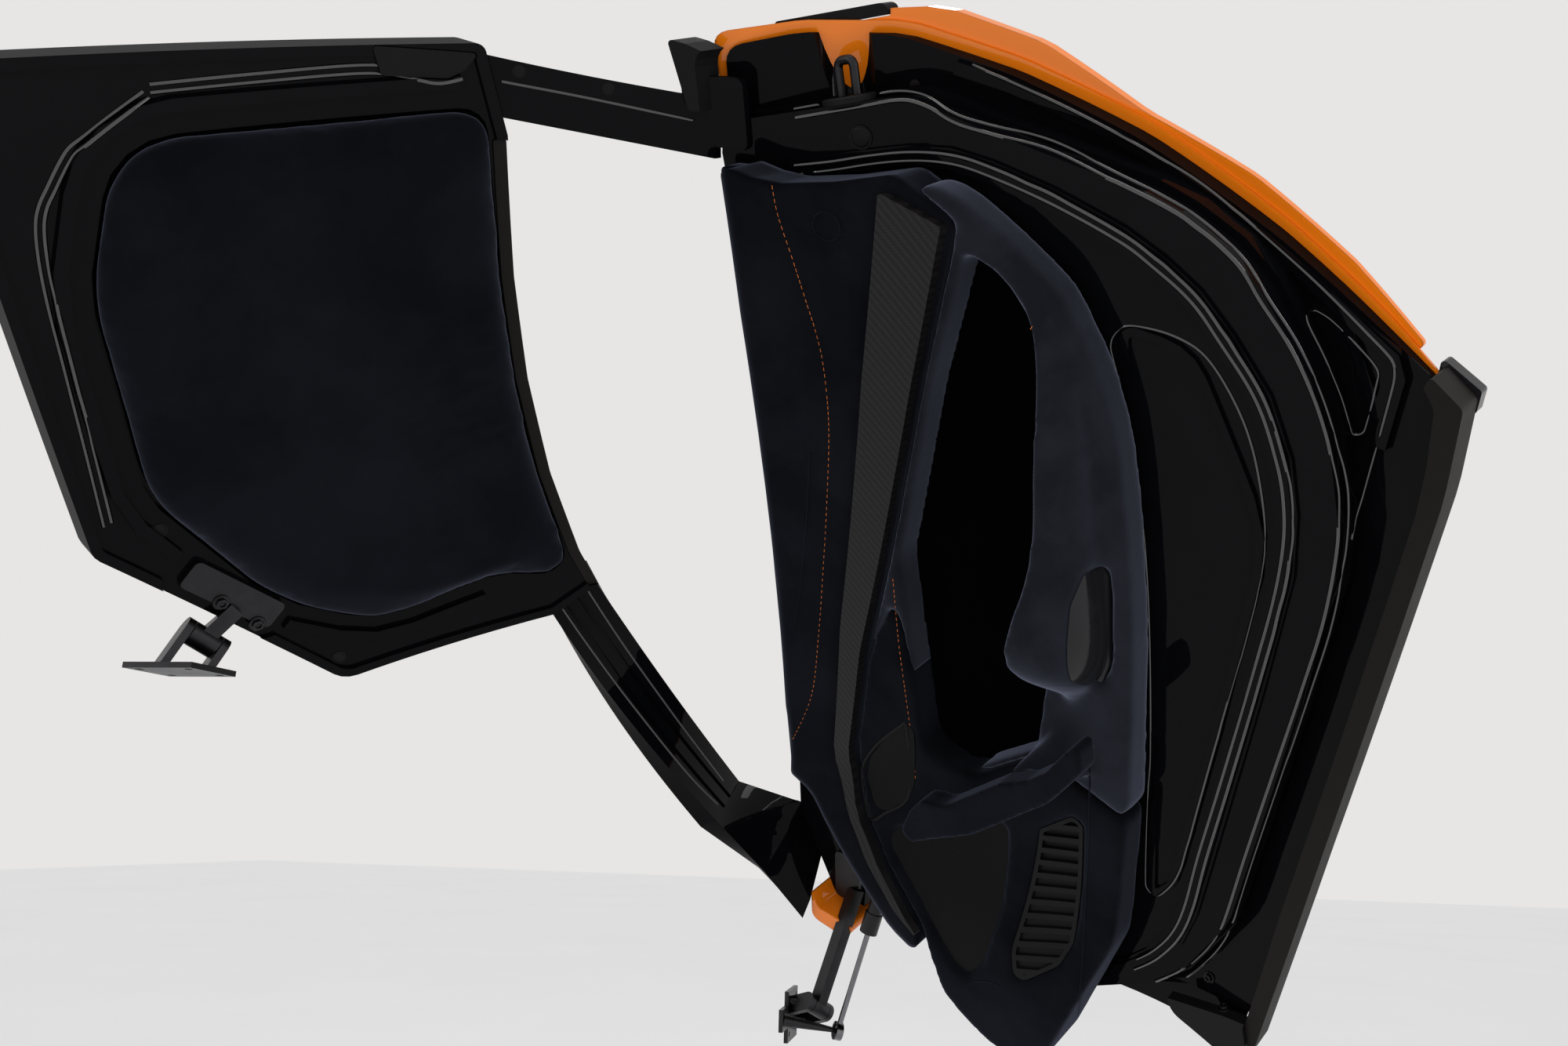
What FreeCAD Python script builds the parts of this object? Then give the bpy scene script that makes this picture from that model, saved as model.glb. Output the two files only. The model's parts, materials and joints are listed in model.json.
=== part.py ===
# Right-hand supercar door that opens upwards and forwards with its roof section,
# on two hinges that share one slanted axis, held open by a gas strut.
# The shapes are drawn as on the closed door, in body coordinates:
# X outboard from the car's centreline, Y forward from the front axle, Z up from the ground.
# A placement then swings the door's pieces open and puts the origin on the lower hinge's bolted face.
import FreeCAD, Part
import Sketcher
import math
import os
from FreeCAD import Placement, Rotation, Vector

doc = FreeCAD.newDocument("ButterflyDoor")

# Driving sizes: name, value (mm or degrees), what it is
SIZES = [
    ("open_angle", 65.5, "swing of the door from closed to open"),
    ("lower_pin_x", 721, "lower hinge pin, outboard"),
    ("lower_pin_y", -395, "lower hinge pin, forward"),
    ("lower_pin_z", 721, "lower hinge pin, up"),
    ("upper_pin_x", 174, "upper hinge pin, outboard"),
    ("upper_pin_y", -1123, "upper hinge pin, forward"),
    ("upper_pin_z", 1147, "upper hinge pin, up"),
    ("bracket_reach", 46, "lower hinge pin from the bolted face"),
    ("pin_radius", 6, "hinge pins"),
    ("pin_clearance", 0.05, "hinge pin in its knuckle, radial"),
    ("knuckle_radius", 13, "hinge knuckles, outside"),
    ("knuckle_length", 30, "door knuckle of a hinge"),
    ("cheek_thickness", 8, "each cheek of a hinge fork"),
    ("cheek_gap", 1, "cheek to knuckle, each side"),
    ("side_reach", 885, "pressing's face from the centreline at its widest"),
    ("side_level", 330, "height of the widest place"),
    ("side_station", -1050, "station of the widest place"),
    ("side_height_radius", 1400, "curve of the side, seen from the front"),
    ("side_length_radius", 6000, "curve of the side, seen from above"),
    ("side_twist", 0.0000865, "how much the upper side opens out towards the front"),
    ("twist_station", -1400, "station where the twist is nil"),
    ("roof_height", 1185, "inner roof face on the centreline"),
    ("roof_station", -1250, "station of the roof's highest place"),
    ("roof_cross_radius", 1450, "curve of the roof, seen from the front"),
    ("roof_length_radius", 4000, "curve of the roof, seen from the side"),
    ("roof_skin_top", 18, "roof skin's face above the roof surface"),
    ("roof_skin_wall", 3, "roof skin"),
    ("roof_frame_low", -12, "roof frame's face below the roof surface"),
    ("headliner_low", -26, "headliner's face below the roof surface"),
    ("headliner_bed", -2, "bed of the headliner in the roof frame"),
    ("seat_gap", 0.3, "clearance between seated pieces"),
    ("seal_width", 12, "window seal on the roof's edge"),
    ("skin_wall", 3, "outer door skin"),
    ("skin_swell_top", 22, "skin outside the pressing's face at the belt"),
    ("skin_swell_mid", 85, "skin outside the pressing's face at mid height"),
    ("skin_swell_low", 30, "skin outside the pressing's face at the sill"),
    ("flange_share", 0.7, "outer flange's depth as a share of the skin's swell"),
    ("blade_wall", 16, "thickness of the outer blade"),
    ("rib_height", 7, "pressing's ribs"),
    ("rib_width", 16, "pressing's ribs"),
    ("bead_width", 9, "pressing's beads"),
    ("bead_height", 4, "pressing's beads"),
    ("card_depth", 48, "card in front of the pressing"),
    ("card_front_depth", 100, "card in front of the pressing at its raised front"),
    ("card_wall", 12, "wall of the card"),
    ("strip_wall", 11, "decor strip"),
    ("pocket_floor", 14, "floor of the card's pockets in front of the pressing"),
    ("bar_thickness", 26, "rear bar and front pillar bar"),
    ("sill_low", 5, "sill strip from the pressing's face, inner side"),
    ("sill_high", 42, "sill strip from the pressing's face, outer side"),
    ("groove_depth", 4, "grooves along the pillar bar"),
    ("lip_height", 5, "lip round the roof frame's edge"),
    ("bed_rib_height", 6, "rib round the headliner's bed"),
    ("chevron_height", 6, "ridge along the pressing's rear flange"),
    ("tongue", 8, "rear bar's tongue, from the pressing's face"),
    ("stud_x", 753, "strut's ball on the body, outboard"),
    ("stud_y", -401, "strut's ball on the body, forward"),
    ("stud_z", 691, "strut's ball on the body, up"),
    ("strut_y", -616, "strut's pin on the door, forward"),
    ("strut_z", 722, "strut's pin on the door, up"),
    ("strut_depth", 24, "strut's pin behind the pressing's face"),
    ("strut_turn", 4.148871, "turn of the strut on its pin as the door closes, degrees"),
    ("strut_lean", -9.167325, "lean of the strut's pin, degrees"),
    ("strut_stroke", 33.736449, "travel of the rod as the door closes"),
    ("ball_radius", 4, "strut's ball on the body"),
    ("pivot_radius", 5, "strut's pin on the door"),
    ("pivot_head", 8, "head and collar of that pin, radius"),
    ("pivot_wall", 2.5, "head and collar of that pin, thickness"),
    ("pivot_reach", 20, "pin's collar from the strut's centre line"),
    ("pivot_root", 12, "pin's shank inside the pressing"),
    ("socket_radius", 10, "eye of the strut's cylinder"),
    ("socket_width", 14, "eye of the strut's cylinder"),
    ("tube_radius", 11, "strut's cylinder"),
    ("tube_length", 111, "strut's cylinder"),
    ("tube_start", 14, "cylinder's end from its pin"),
    ("collar_radius", 13, "collar at the cylinder's mouth"),
    ("collar_length", 30, "collar at the cylinder's mouth"),
    ("rod_radius", 4, "strut's rod"),
    ("rod_clearance", 0.4, "rod in its cylinder, radial"),
    ("rod_overlap", 45, "rod inside its cylinder, door open"),
    ("bore_floor", 20, "solid end of the cylinder"),
    ("bolt_radius", 4.25, "bolt holes"),
    ("bolt_rows", 56, "bracket bolts, spacing along the plate"),
    ("bolt_columns", 48, "bracket bolts, spacing across the plate"),
    ("plate_margin", 11, "plate beyond its bolts"),
    ("plate_wall", 6, "bracket plates"),
    ("upper_drop", 36, "upper bracket's bolted face below its pin"),
    ("arm_width", 16, "hinge arms"),
    ("arm_wall", 20, "hinge arms"),
    ("eye_radius", 12.8, "strut rod's eye"),
    ("eye_length", 10, "strut rod's eye"),
    ("eye_clearance", 5, "strut rod's eye round the body's ball"),
    ("post_foot", 9, "foot of the ball's post, radius"),
    ("post_tip", 3, "tip of the ball's post, radius"),
    ("lug_half", 15, "half width of the lug that carries the post"),
    ("latch_height", 827, "latch hook, up"),
    ("latch_inset", -19, "latch hook behind the pressing's face"),
    ("latch_radius", 27, "latch hook's base"),
    ("latch_wall", 6, "latch hook's base"),
    ("hook_radius", 4.5, "round bar of the latch hook"),
    ("hook_half", 10, "half distance of the hook's legs"),
    ("hook_rise", 32, "centre line of the hook's bridge above the base"),
    ("hook_bend", 7, "bends of the hook, centre line"),
    ("slat_pitch", 15, "slats of the speaker grille, from one to the next"),
    ("slat_width", 7, "slats of the speaker grille"),
]

sheet = doc.addObject("Spreadsheet::Sheet", "Sizes")
for row, (alias, number, meaning) in enumerate(SIZES, start=1):
    sheet.set("A%d" % row, meaning)
    sheet.set("B%d" % row, str(number))
    sheet.setAlias("B%d" % row, alias)
doc.recompute()
size = {alias: float(getattr(sheet, alias)) for alias, number, meaning in SIZES}

lower_pin = Vector(size["lower_pin_x"], size["lower_pin_y"], size["lower_pin_z"])
upper_pin = Vector(size["upper_pin_x"], size["upper_pin_y"], size["upper_pin_z"])
stud = Vector(size["stud_x"], size["stud_y"], size["stud_z"])
hinge_axis = (upper_pin - lower_pin).normalize()


def square_to_hinge(direction):
    """The part of a direction that is square to the hinge axis, of length one."""
    return (direction - hinge_axis * direction.dot(hinge_axis)).normalize()


lower_root = square_to_hinge(Vector(-1, 0, 0))
origin = lower_pin + lower_root * (size["bracket_reach"] / abs(lower_root.x))
upper_root = square_to_hinge(Vector(0, 0, -1))
upper_seat = upper_pin + upper_root * (size["upper_drop"] / abs(upper_root.z))

body_place = Placement(origin * -1, Rotation())
swing = Placement(Vector(), Rotation(hinge_axis, size["open_angle"]), lower_pin)
door_place = body_place * swing


def side_x(y, z, inset=0.0):
    """The pressing's face: its distance from the centreline. A positive inset lies further inboard."""
    drop = (z - size["side_level"]) ** 2 / (2 * size["side_height_radius"])
    bow = (y - size["side_station"]) ** 2 / (2 * size["side_length_radius"])
    twist = size["side_twist"] * (y - size["twist_station"]) * (z - size["side_level"])
    return size["side_reach"] - drop - bow + twist - inset


def roof_z(x, y, rise=0.0):
    """The roof's surface: its height."""
    camber = x ** 2 / (2 * size["roof_cross_radius"])
    bow = (y - size["roof_station"]) ** 2 / (2 * size["roof_length_radius"])
    return size["roof_height"] - camber - bow + rise


def swell(z):
    """How far the outer skin stands outside the pressing's face at a height."""
    low, middle, top = 240.0, 560.0, 950.0
    a, b, c = size["skin_swell_low"], size["skin_swell_mid"], size["skin_swell_top"]
    left = a * (z - middle) * (z - top) / ((low - middle) * (low - top))
    centre = b * (z - low) * (z - top) / ((middle - low) * (middle - top))
    right = c * (z - low) * (z - middle) / ((top - low) * (top - middle))
    return left + centre + right


CHORD_TURN = 20.0


def arc(a, b, c):
    return Part.Arc(a, b, c).toShape()


def line(a, b):
    return Part.makeLine(a, b)


def rounded(points):
    """A closed wire through corners; each corner is (Vector, radius), and its curve is drawn in short chords."""
    count = len(points)
    track = []
    for index in range(count):
        corner, radius = points[index]
        before = points[index - 1][0]
        after = points[(index + 1) % count][0]
        back = (before - corner).normalize()
        ahead = (after - corner).normalize()
        half = back.getAngle(ahead) / 2
        reach = min(radius / math.tan(half), 0.48 * (before - corner).Length, 0.48 * (after - corner).Length)
        if reach < 1.2:
            track.append(corner)
            continue
        used = reach * math.tan(half)
        centre = corner + (back + ahead).normalize() * (used / math.sin(half))
        start = corner + back * reach
        sweep = math.pi - 2 * half
        steps = max(1, round(sweep / math.radians(CHORD_TURN)))
        turn_about = (start - centre).cross(corner + ahead * reach - centre).normalize()
        for step in range(steps + 1):
            spin = Rotation(turn_about, math.degrees(sweep) * step / steps)
            track.append(centre + spin.multVec(start - centre))
    return Part.makePolygon(track + track[:1])


def side_prism(outline, inboard=450.0, outboard=1150.0):
    """An outline in Y and Z, drawn through the whole side; its corners are (y, z, radius)."""
    wire = rounded([(Vector(inboard, y, z), radius) for y, z, radius in outline])
    return Part.Face(wire).extrude(Vector(outboard - inboard, 0, 0))


def roof_prism(outline, low=850.0, high=1350.0):
    """An outline in X and Y, drawn through the whole roof; its corners are (x, y, radius)."""
    wire = rounded([(Vector(x, y, low), radius) for x, y, radius in outline])
    return Part.Face(wire).extrude(Vector(0, 0, high - low))


def loft(wires, ruled=False):
    return Part.makeLoft(wires, True, ruled)


def level(inset):
    """A face parallel to the pressing's; faces are a function of height and whether the card's rise counts."""
    return (lambda z: inset), False


SIDE_ENDS = (-1780.0, -420.0)
SIDE_HEIGHTS = (180.0, 590.0, 1000.0)
RISE_KNOTS = (-1780.0, -850.0, -720.0, -590.0, -420.0)
RISE_SHARES = (0.0, 1.0, 0.3)
SIDE_THROUGH = 430.0


def bezier_row(values):
    """Three poles of the parabola that passes through three evenly spaced values."""
    return values[0], 2 * values[1] - (values[0] + values[2]) / 2, values[2]


def side_sheet(face):
    """One smooth sheet along the side, a parabola both ways, with the card's rise as a smooth step in it."""
    inset, rising = face
    knots = RISE_KNOTS if rising else SIDE_ENDS
    ends = (knots[0],) + knots + (knots[-1],)
    rise = size["card_front_depth"] - size["card_depth"] if rising else 0.0
    poles = []
    for index in range(len(ends) - 1):
        middle = (ends[index] + ends[index + 1]) / 2
        spread = (ends[index + 1] - ends[index]) / 2
        lift = rise if index > 2 else 0.0
        values = []
        for z, share in zip(SIDE_HEIGHTS, RISE_SHARES):
            bow = spread ** 2 / (2 * size["side_length_radius"])
            values.append(side_x(middle, z, inset(z) + lift * share) + bow)
        poles.append([Vector(x, middle, z) for x, z in zip(bezier_row(values), SIDE_HEIGHTS)])
    sheet_surface = Part.BSplineSurface()
    counts = [3] + [1] * (len(knots) - 2) + [3]
    sheet_surface.buildFromPolesMultsKnots(poles, counts, [3, 3], list(knots), [0.0, 1.0], False, False, 2, 2)
    return sheet_surface.toShape()


def side_block(face):
    """Everything outboard of a face."""
    return side_sheet(face).extrude(Vector(SIDE_THROUGH, 0, 0))


def side_layer(inner, outer):
    """A layer along the side between two faces, the inner one further inboard."""
    gaps = [inner[0](z) - outer[0](z) for z in SIDE_HEIGHTS]
    if inner[1] == outer[1] and max(gaps) - min(gaps) < 0.001:
        return side_sheet(inner).extrude(Vector(gaps[0], 0, 0))
    return side_block(inner).cut(side_block(outer))


def ribbon(path, width):
    """An outline that follows an open path at an even width."""
    half = width / 2
    left = []
    right = []
    for index, (y, z) in enumerate(path):
        before = path[max(index - 1, 0)]
        after = path[min(index + 1, len(path) - 1)]
        along = Vector(after[0] - before[0], after[1] - before[1], 0).normalize()
        left.append((y - along.y * half, z + along.x * half, 0))
        right.append((y + along.y * half, z - along.x * half, 0))
    return left + right[::-1]


def panel(outline, inner, outer):
    """A side layer between two constant insets, cut to an outline in Y and Z."""
    return side_layer(level(inner), level(outer)).common(side_prism(outline))


ROOF_STATIONS = (-1760.0, -1360.0, -960.0)
ROOF_LINES = (60.0, 355.0, 650.0)


def roof_layer(low, high):
    """A layer along the roof between two heights above the roof's surface."""
    rows = []
    for y in ROOF_STATIONS:
        rows.append(bezier_row([roof_z(x, y, low) for x in ROOF_LINES]))
    columns = [bezier_row(values) for values in zip(*rows)]
    poles = []
    for x, heights in zip(ROOF_LINES, columns):
        poles.append([Vector(x, y, z) for y, z in zip(ROOF_STATIONS, heights)])
    sheet_surface = Part.BezierSurface()
    for u, row in enumerate(poles, start=1):
        for v, pole in enumerate(row, start=1):
            if u == 1 and v == 1:
                sheet_surface.increase(2, 2)
            sheet_surface.setPole(u, v, pole)
    return sheet_surface.toShape().extrude(Vector(0, 0, high - low))


def roof_panel(outline, low, high):
    return roof_layer(low, high).common(roof_prism(outline))


def grown(outline, margin):
    """The same outline moved outwards; a negative margin moves it inwards."""
    count = len(outline)
    turn = 0.0
    for index in range(count):
        a, b = outline[index][:2], outline[(index + 1) % count][:2]
        turn += a[0] * b[1] - b[0] * a[1]
    sign = 1.0 if turn > 0 else -1.0
    moved = []
    for index in range(count):
        a, p, b = outline[index - 1], outline[index], outline[(index + 1) % count]
        u = Vector(p[0] - a[0], p[1] - a[1], 0).normalize()
        v = Vector(b[0] - p[0], b[1] - p[1], 0).normalize()
        out_u = Vector(u.y * sign, -u.x * sign, 0)
        out_v = Vector(v.y * sign, -v.x * sign, 0)
        bisector = (out_u + out_v).normalize()
        shift = bisector * (margin / max(bisector.dot(out_u), 0.3))
        moved.append((p[0] + shift.x, p[1] + shift.y, max(p[2] + margin, 2.0)))
    return moved


nodes = []


def piece(name, shape, place):
    """A finished piece: its label is its file's name."""
    if shape.ShapeType == "Compound" and len(shape.Solids) == 1:
        shape = shape.Solids[0]
    feature = doc.addObject("Part::Feature", name)
    feature.Label = name
    feature.Shape = shape
    feature.Placement = place
    nodes.append(feature)
    return feature


# Roof section. Outlines in X and Y: (x, y, corner radius)
WINDOW_EDGE = [(603, -1047), (585, -1099), (560, -1215), (544, -1339), (537, -1458), (536, -1600)]
ROOF = [(99, -1703, 8), (106, -1248, 20), (302, -1006, 30), (548, -1016, 6), (603, -1047, 4),
        (585, -1099, 60), (560, -1215, 60), (544, -1339, 60), (537, -1458, 60), (536, -1604, 8), (518, -1690, 10)]
HEADLINER = [(166, -1290, 60), (166, -1500, 120), (212, -1630, 70), (520, -1632, 25), (528, -1400, 500),
             (574, -1066, 25), (490, -1090, 60), (350, -1068, 90), (252, -1135, 120)]
BED_RIB_END = [(60, -1720, 4), (498, -1720, 4), (498, -1500, 4), (470, -1040, 4), (60, -1040, 4)]
ROOF_CORNER_TRIM = [(424, -1692, 3), (514, -1681, 3), (500, -1666, 6), (486, -1660, 6), (430, -1666, 4)]
UPPER_PAD = Vector(214, -1140, 0)
UPPER_FLANGE = [(168, -1190, 6), (192, -1212, 6), (262, -1128, 6), (238, -1106, 6)]


def make_roof():
    skin_low = size["roof_skin_top"] - size["roof_skin_wall"]
    frame_low = size["roof_frame_low"]
    gap = size["seat_gap"]
    piece("roof_skin", roof_panel(ROOF, skin_low, size["roof_skin_top"]), door_place)
    edge = [(x, y, 60) for x, y in WINDOW_EDGE[1:-1]]
    outer = [WINDOW_EDGE[0] + (2,)] + edge + [WINDOW_EDGE[-1] + (2,)]
    inner = [(x - size["seal_width"], y, radius) for x, y, radius in reversed(outer)]
    seal_room = roof_prism(grown(outer + inner, gap))
    piece("window_seal", roof_panel(outer + inner, frame_low - 2, skin_low - gap), door_place)
    frame = roof_panel(ROOF, frame_low, skin_low - gap)
    lip = roof_panel(ROOF, frame_low - size["lip_height"], frame_low + 2)
    lip = lip.cut(roof_prism(grown(ROOF, -10)))
    rib = roof_panel(grown(HEADLINER, 30), frame_low - size["bed_rib_height"], frame_low + 2)
    rib = rib.cut(roof_prism(grown(HEADLINER, 18))).common(roof_prism(BED_RIB_END))
    rib = rib.common(roof_prism(grown(ROOF, -16)))
    raised = lip.fuse(rib).cut(roof_prism(grown(UPPER_FLANGE, 16))).cut(roof_prism(grown(ROOF_CORNER_TRIM, 1)))
    bed = roof_panel(HEADLINER, frame_low - 5, size["headliner_bed"])
    piece("roof_frame", frame.fuse(raised).cut(bed).cut(seal_room), door_place)
    pad = roof_panel(grown(HEADLINER, -gap), size["headliner_low"], size["headliner_bed"] - gap)
    piece("headliner", pad.cut(seal_room), door_place)
    trim = roof_panel(ROOF_CORNER_TRIM, frame_low - 4, frame_low - gap)
    piece("roof_corner_trim", trim, door_place)


# Bars round the window. Each row is a section: front or upper edge point, rear or window edge point
REAR_BAR = [((502, -1684, 1077), (520, -1624, 1066)),
            ((610, -1657, 1009), (623, -1599, 998)),
            ((712, -1636, 942), (713, -1577, 940))]
PILLAR_BAR = [((543, -1036, 1080), (596, -1064, 1050)),
              ((606, -849, 999), (688, -844, 1003)),
              ((673, -686, 891), (776, -645, 953))]
PILLAR_FOOT = [((673, -686, 891), (776, -645, 953)),
               ((720, -588, 840), (811, -652, 852)),
               ((757, -497, 792), (822, -600, 800))]
TONGUE = [(-1662, 912, 8), (-1590, 912, 8), (-1590, 972, 4), (-1656, 972, 4)]


def bar_frames(rows):
    """Each row with the direction square to its section that points outboard and up."""
    centres = [(Vector(*a) + Vector(*b)) * 0.5 for a, b in rows]
    frames = []
    for index, (a, b) in enumerate(rows):
        before = centres[max(index - 1, 0)]
        after = centres[min(index + 1, len(rows) - 1)]
        first, second = Vector(*a), Vector(*b)
        normal = (second - first).cross(after - before).normalize()
        frames.append((first, second, normal if normal.z > 0 else normal * -1))
    return frames


def bar_wires(rows, thickness, taper=0.0):
    """Closed four-sided sections; the thickness stands outboard and up from the inner face."""
    wires = []
    for first, second, normal in bar_frames(rows):
        out = normal * thickness
        inward = (second - first).normalize() * taper
        wires.append(Part.makePolygon([first, second, second + out - inward, first + out + inward, first]))
    return wires


def bar_groove(rows, start, end):
    """A groove along a bar's inner face, between two shares of its width."""
    wires = []
    for first, second, normal in bar_frames(rows):
        near = first + (second - first) * start
        far = first + (second - first) * end
        depth = normal * size["groove_depth"]
        wires.append(Part.makePolygon([near - normal * 3, far - normal * 3, far + depth, near + depth,
                                       near - normal * 3]))
    return loft(wires)


def rear_bar():
    gap = size["seat_gap"]
    bar = loft(bar_wires(REAR_BAR, 20, 5)).cut(roof_prism(grown(ROOF, gap)))
    bar = bar.cut(side_prism(grown(EDGE, gap))).cut(side_prism(grown(FIELD, gap)))
    return bar.fuse(panel(TONGUE, size["tongue"], gap))


def make_bars():
    gap = size["seat_gap"]
    piece("rear_bar", rear_bar(), door_place)
    wires = bar_wires(PILLAR_BAR, size["bar_thickness"])
    bar = loft(wires).cut(roof_prism(grown(ROOF, gap)))
    for start, end in ((0.3, 0.37), (0.55, 0.62)):
        bar = bar.cut(bar_groove(PILLAR_BAR, start, end))
    piece("pillar_bar", bar, door_place)
    foot = loft([wires[-1]] + bar_wires(PILLAR_FOOT, size["bar_thickness"])[1:], True)
    foot = foot.cut(side_prism(grown(EDGE, gap))).cut(side_prism(grown(FIELD, gap)))
    piece("pillar_foot", foot, door_place)


# Lower door. Outlines in Y and Z: (y, z, corner radius)
FIELD = [(-1583, 944, 8), (-1614, 940, 12), (-1664, 765, 60), (-1645, 690, 100), (-1613, 524, 150),
         (-1576, 443, 100), (-1473, 350, 150), (-1338, 297, 150), (-1150, 287, 300), (-857, 276, 80),
         (-720, 312, 100), (-560, 460, 100), (-508, 690, 60), (-508, 786, 8), (-640, 854, 30)]
EDGE = [(-1590, 944, 8), (-1684, 944, 20), (-1702, 885, 60), (-1709, 800, 60), (-1686, 700, 150),
        (-1647, 579, 200), (-1590, 444, 200), (-1536, 330, 60), (-1515, 284, 6), (-1500, 271, 8),
        (-1428, 257, 200), (-911, 234, 200), (-745, 223, 10), (-690, 318, 60), (-560, 470, 100),
        (-512, 690, 60), (-512, 780, 8), (-640, 850, 30)]
SKIN = [(-1592, 950, 6), (-1696, 955, 15), (-1713, 885, 60), (-1720, 800, 60), (-1697, 700, 150),
        (-1657, 579, 200), (-1599, 444, 200), (-1545, 334, 60), (-1518, 284, 6), (-1428, 250, 200),
        (-900, 232, 200), (-684, 224, 14), (-552, 440, 100), (-502, 690, 60), (-502, 780, 8), (-640, 856, 30)]
RIB_PATH = [(-1576, 872), (-1593, 810), (-1608, 755), (-1612, 716), (-1607, 679), (-1593, 620), (-1572, 553),
            (-1555, 516), (-1534, 481), (-1504, 447), (-1460, 404), (-1409, 373), (-1360, 355), (-1300, 342),
            (-1165, 335), (-1031, 330), (-840, 322), (-789, 326), (-740, 340), (-702, 361), (-671, 386)]
CHEVRON = [(-1686, 745), (-1676, 695), (-1662, 648), (-1639, 577), (-1616, 516), (-1585, 450), (-1556, 394),
           (-1532, 345), (-1520, 318), (-1506, 309), (-1440, 306)]
TEARDROP = [(-1494, 542, 14), (-1400, 523, 200), (-1249, 472, 300), (-1013, 415, 300), (-810, 366, 10),
            (-860, 342, 30), (-1064, 350, 300), (-1330, 360, 150), (-1490, 470, 60)]
TRIANGLE = [(-1556, 386, 6), (-1478, 330, 20), (-1452, 314, 5), (-1528, 312, 8)]
BLADE = [(-1706, 905, 20), (-1722, 868, 30), (-1735, 773, 60), (-1713, 686, 60), (-1665, 590, 100),
         (-1629, 483, 100), (-1580, 380, 60), (-1534, 302, 6), (-1526, 308, 6), (-1566, 400, 100),
         (-1606, 500, 100), (-1626, 610, 60), (-1250, 640, 400), (-760, 600, 14), (-760, 628, 14),
         (-1250, 760, 400)]
BLADE_STRIP = [(-1708, 912, 3), (-1734, 820, 20), (-1724, 816, 3), (-1700, 900, 6)]
BLADE_NOTCH = [(-1736, 940, 0), (-1760, 815, 0), (-1723, 815, 2), (-1699, 901, 6), (-1699, 940, 0)]
SILL = [(-1526, 281, 3), (-1508, 250, 8), (-1428, 239, 200), (-999, 218, 500), (-694, 201, 4),
        (-737, 221, 4), (-911, 233, 300), (-1428, 256, 300), (-1500, 270, 10), (-1515, 283, 3)]
LENS = [(-1530, 286, 3), (-1513, 249, 4), (-1490, 247, 3), (-1512, 284, 3)]
REAR_FIN = [(-1693, 968, 4), (-1690, 951, 4), (-1676, 912, 4), (-1644, 906, 8), (-1626, 930, 8), (-1628, 956, 8)]
FRONT_FIN = [(-746, 216, 4), (-680, 206, 4), (-680, 300, 30), (-700, 312, 6)]
SHOULDER = [(-560, 802, 12), (-482, 792, 16), (-474, 738, 16), (-500, 722, 10), (-506, 784, 4)]
STRUT_SPACE = [(-648, 672, 10), (-560, 662, 10), (-480, 640, 6), (-480, 736, 6), (-560, 742, 6), (-648, 742, 10)]


def flange_face(extra, share=1.0):
    return (lambda z: extra - swell(z) * size["flange_share"] * share), False


def outer_face(extra):
    return (lambda z: -swell(z) - extra), False


def blade_face(extra):
    """The blade's outer face: it thins towards the sill."""
    return (lambda z: -swell(z) - extra - size["blade_wall"] * (0.3 + 0.7 * (z - 240) / 710)), False


def ridge(outline, inner, outer):
    """A raised band that follows an outline, between two faces."""
    ring = side_prism(outline).cut(side_prism(grown(outline, -size["bead_width"])))
    return side_layer(inner, outer).common(ring)


def make_lower_door():
    wall = size["skin_wall"]
    gap = size["seat_gap"]
    behind = outer_face(-wall - gap)
    field = side_layer(level(0), behind).common(side_prism(FIELD))
    flange = side_layer(flange_face(0), behind).common(side_prism(EDGE))
    step = side_layer(flange_face(0, 0.5), behind).common(side_prism(grown(FIELD, 6)).common(side_prism(EDGE)))
    pressing = field.fuse([flange, step])
    rib = side_layer(level(size["rib_height"]), level(-2)).common(side_prism(ribbon(RIB_PATH, size["rib_width"])))
    crest = side_layer(level(size["rib_height"] / 2), level(-2)).common(
        side_prism(ribbon(RIB_PATH, size["rib_width"] + 8)))
    rib = rib.fuse(crest)
    for outline in (CARD_PANEL, CARD_BODY, CARD_FRONT, POCKET):
        rib = rib.cut(side_prism(grown(outline, 3)))
    chevron = side_layer(flange_face(size["chevron_height"]), flange_face(-2))
    chevron = chevron.common(side_prism(ribbon(CHEVRON, 12))).common(side_prism(grown(EDGE, -2)))
    chevron = chevron.cut(side_prism(grown(FIELD, 4)))
    teardrop = ridge(TEARDROP, level(size["bead_height"]), level(-2)).cut(side_prism(grown(CARD_BODY, 9)))
    triangle = ridge(TRIANGLE, flange_face(size["bead_height"]), flange_face(-2)).cut(side_prism(grown(FIELD, 4)))
    for raised in (rib, chevron, teardrop, triangle):
        pressing = pressing.fuse(raised)
    well = side_layer(level(12), level(-60)).common(side_prism(STRUT_SPACE))
    pressing = pressing.cut(well)
    seat, rearward, upward = latch_seat()
    pressing = pressing.cut(Part.makeCylinder(size["latch_radius"] + gap, 90, seat, rearward))
    shank = strut_pin + strut_axis * (size["pivot_reach"] - 2)
    pressing = pressing.cut(Part.makeCylinder(size["pivot_radius"] + gap, size["pivot_root"] + 3, shank, strut_axis))
    piece("inner_pressing", pressing.removeSplitter(), door_place)
    skin = side_layer(outer_face(-wall), outer_face(0)).common(side_prism(SKIN)).cut(side_prism(grown(SILL, gap)))
    piece("outer_skin", skin, door_place)
    blade = side_layer(outer_face(gap), blade_face(0)).common(side_prism(BLADE))
    strip = side_layer(outer_face(gap), blade_face(3)).common(side_prism(BLADE_STRIP))
    piece("outer_blade", blade.cut(side_prism(BLADE_NOTCH)), door_place)
    piece("blade_strip", strip, door_place)
    sill = panel(SILL, -size["sill_low"], -size["sill_high"])
    piece("sill_strip", sill, door_place)


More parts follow.
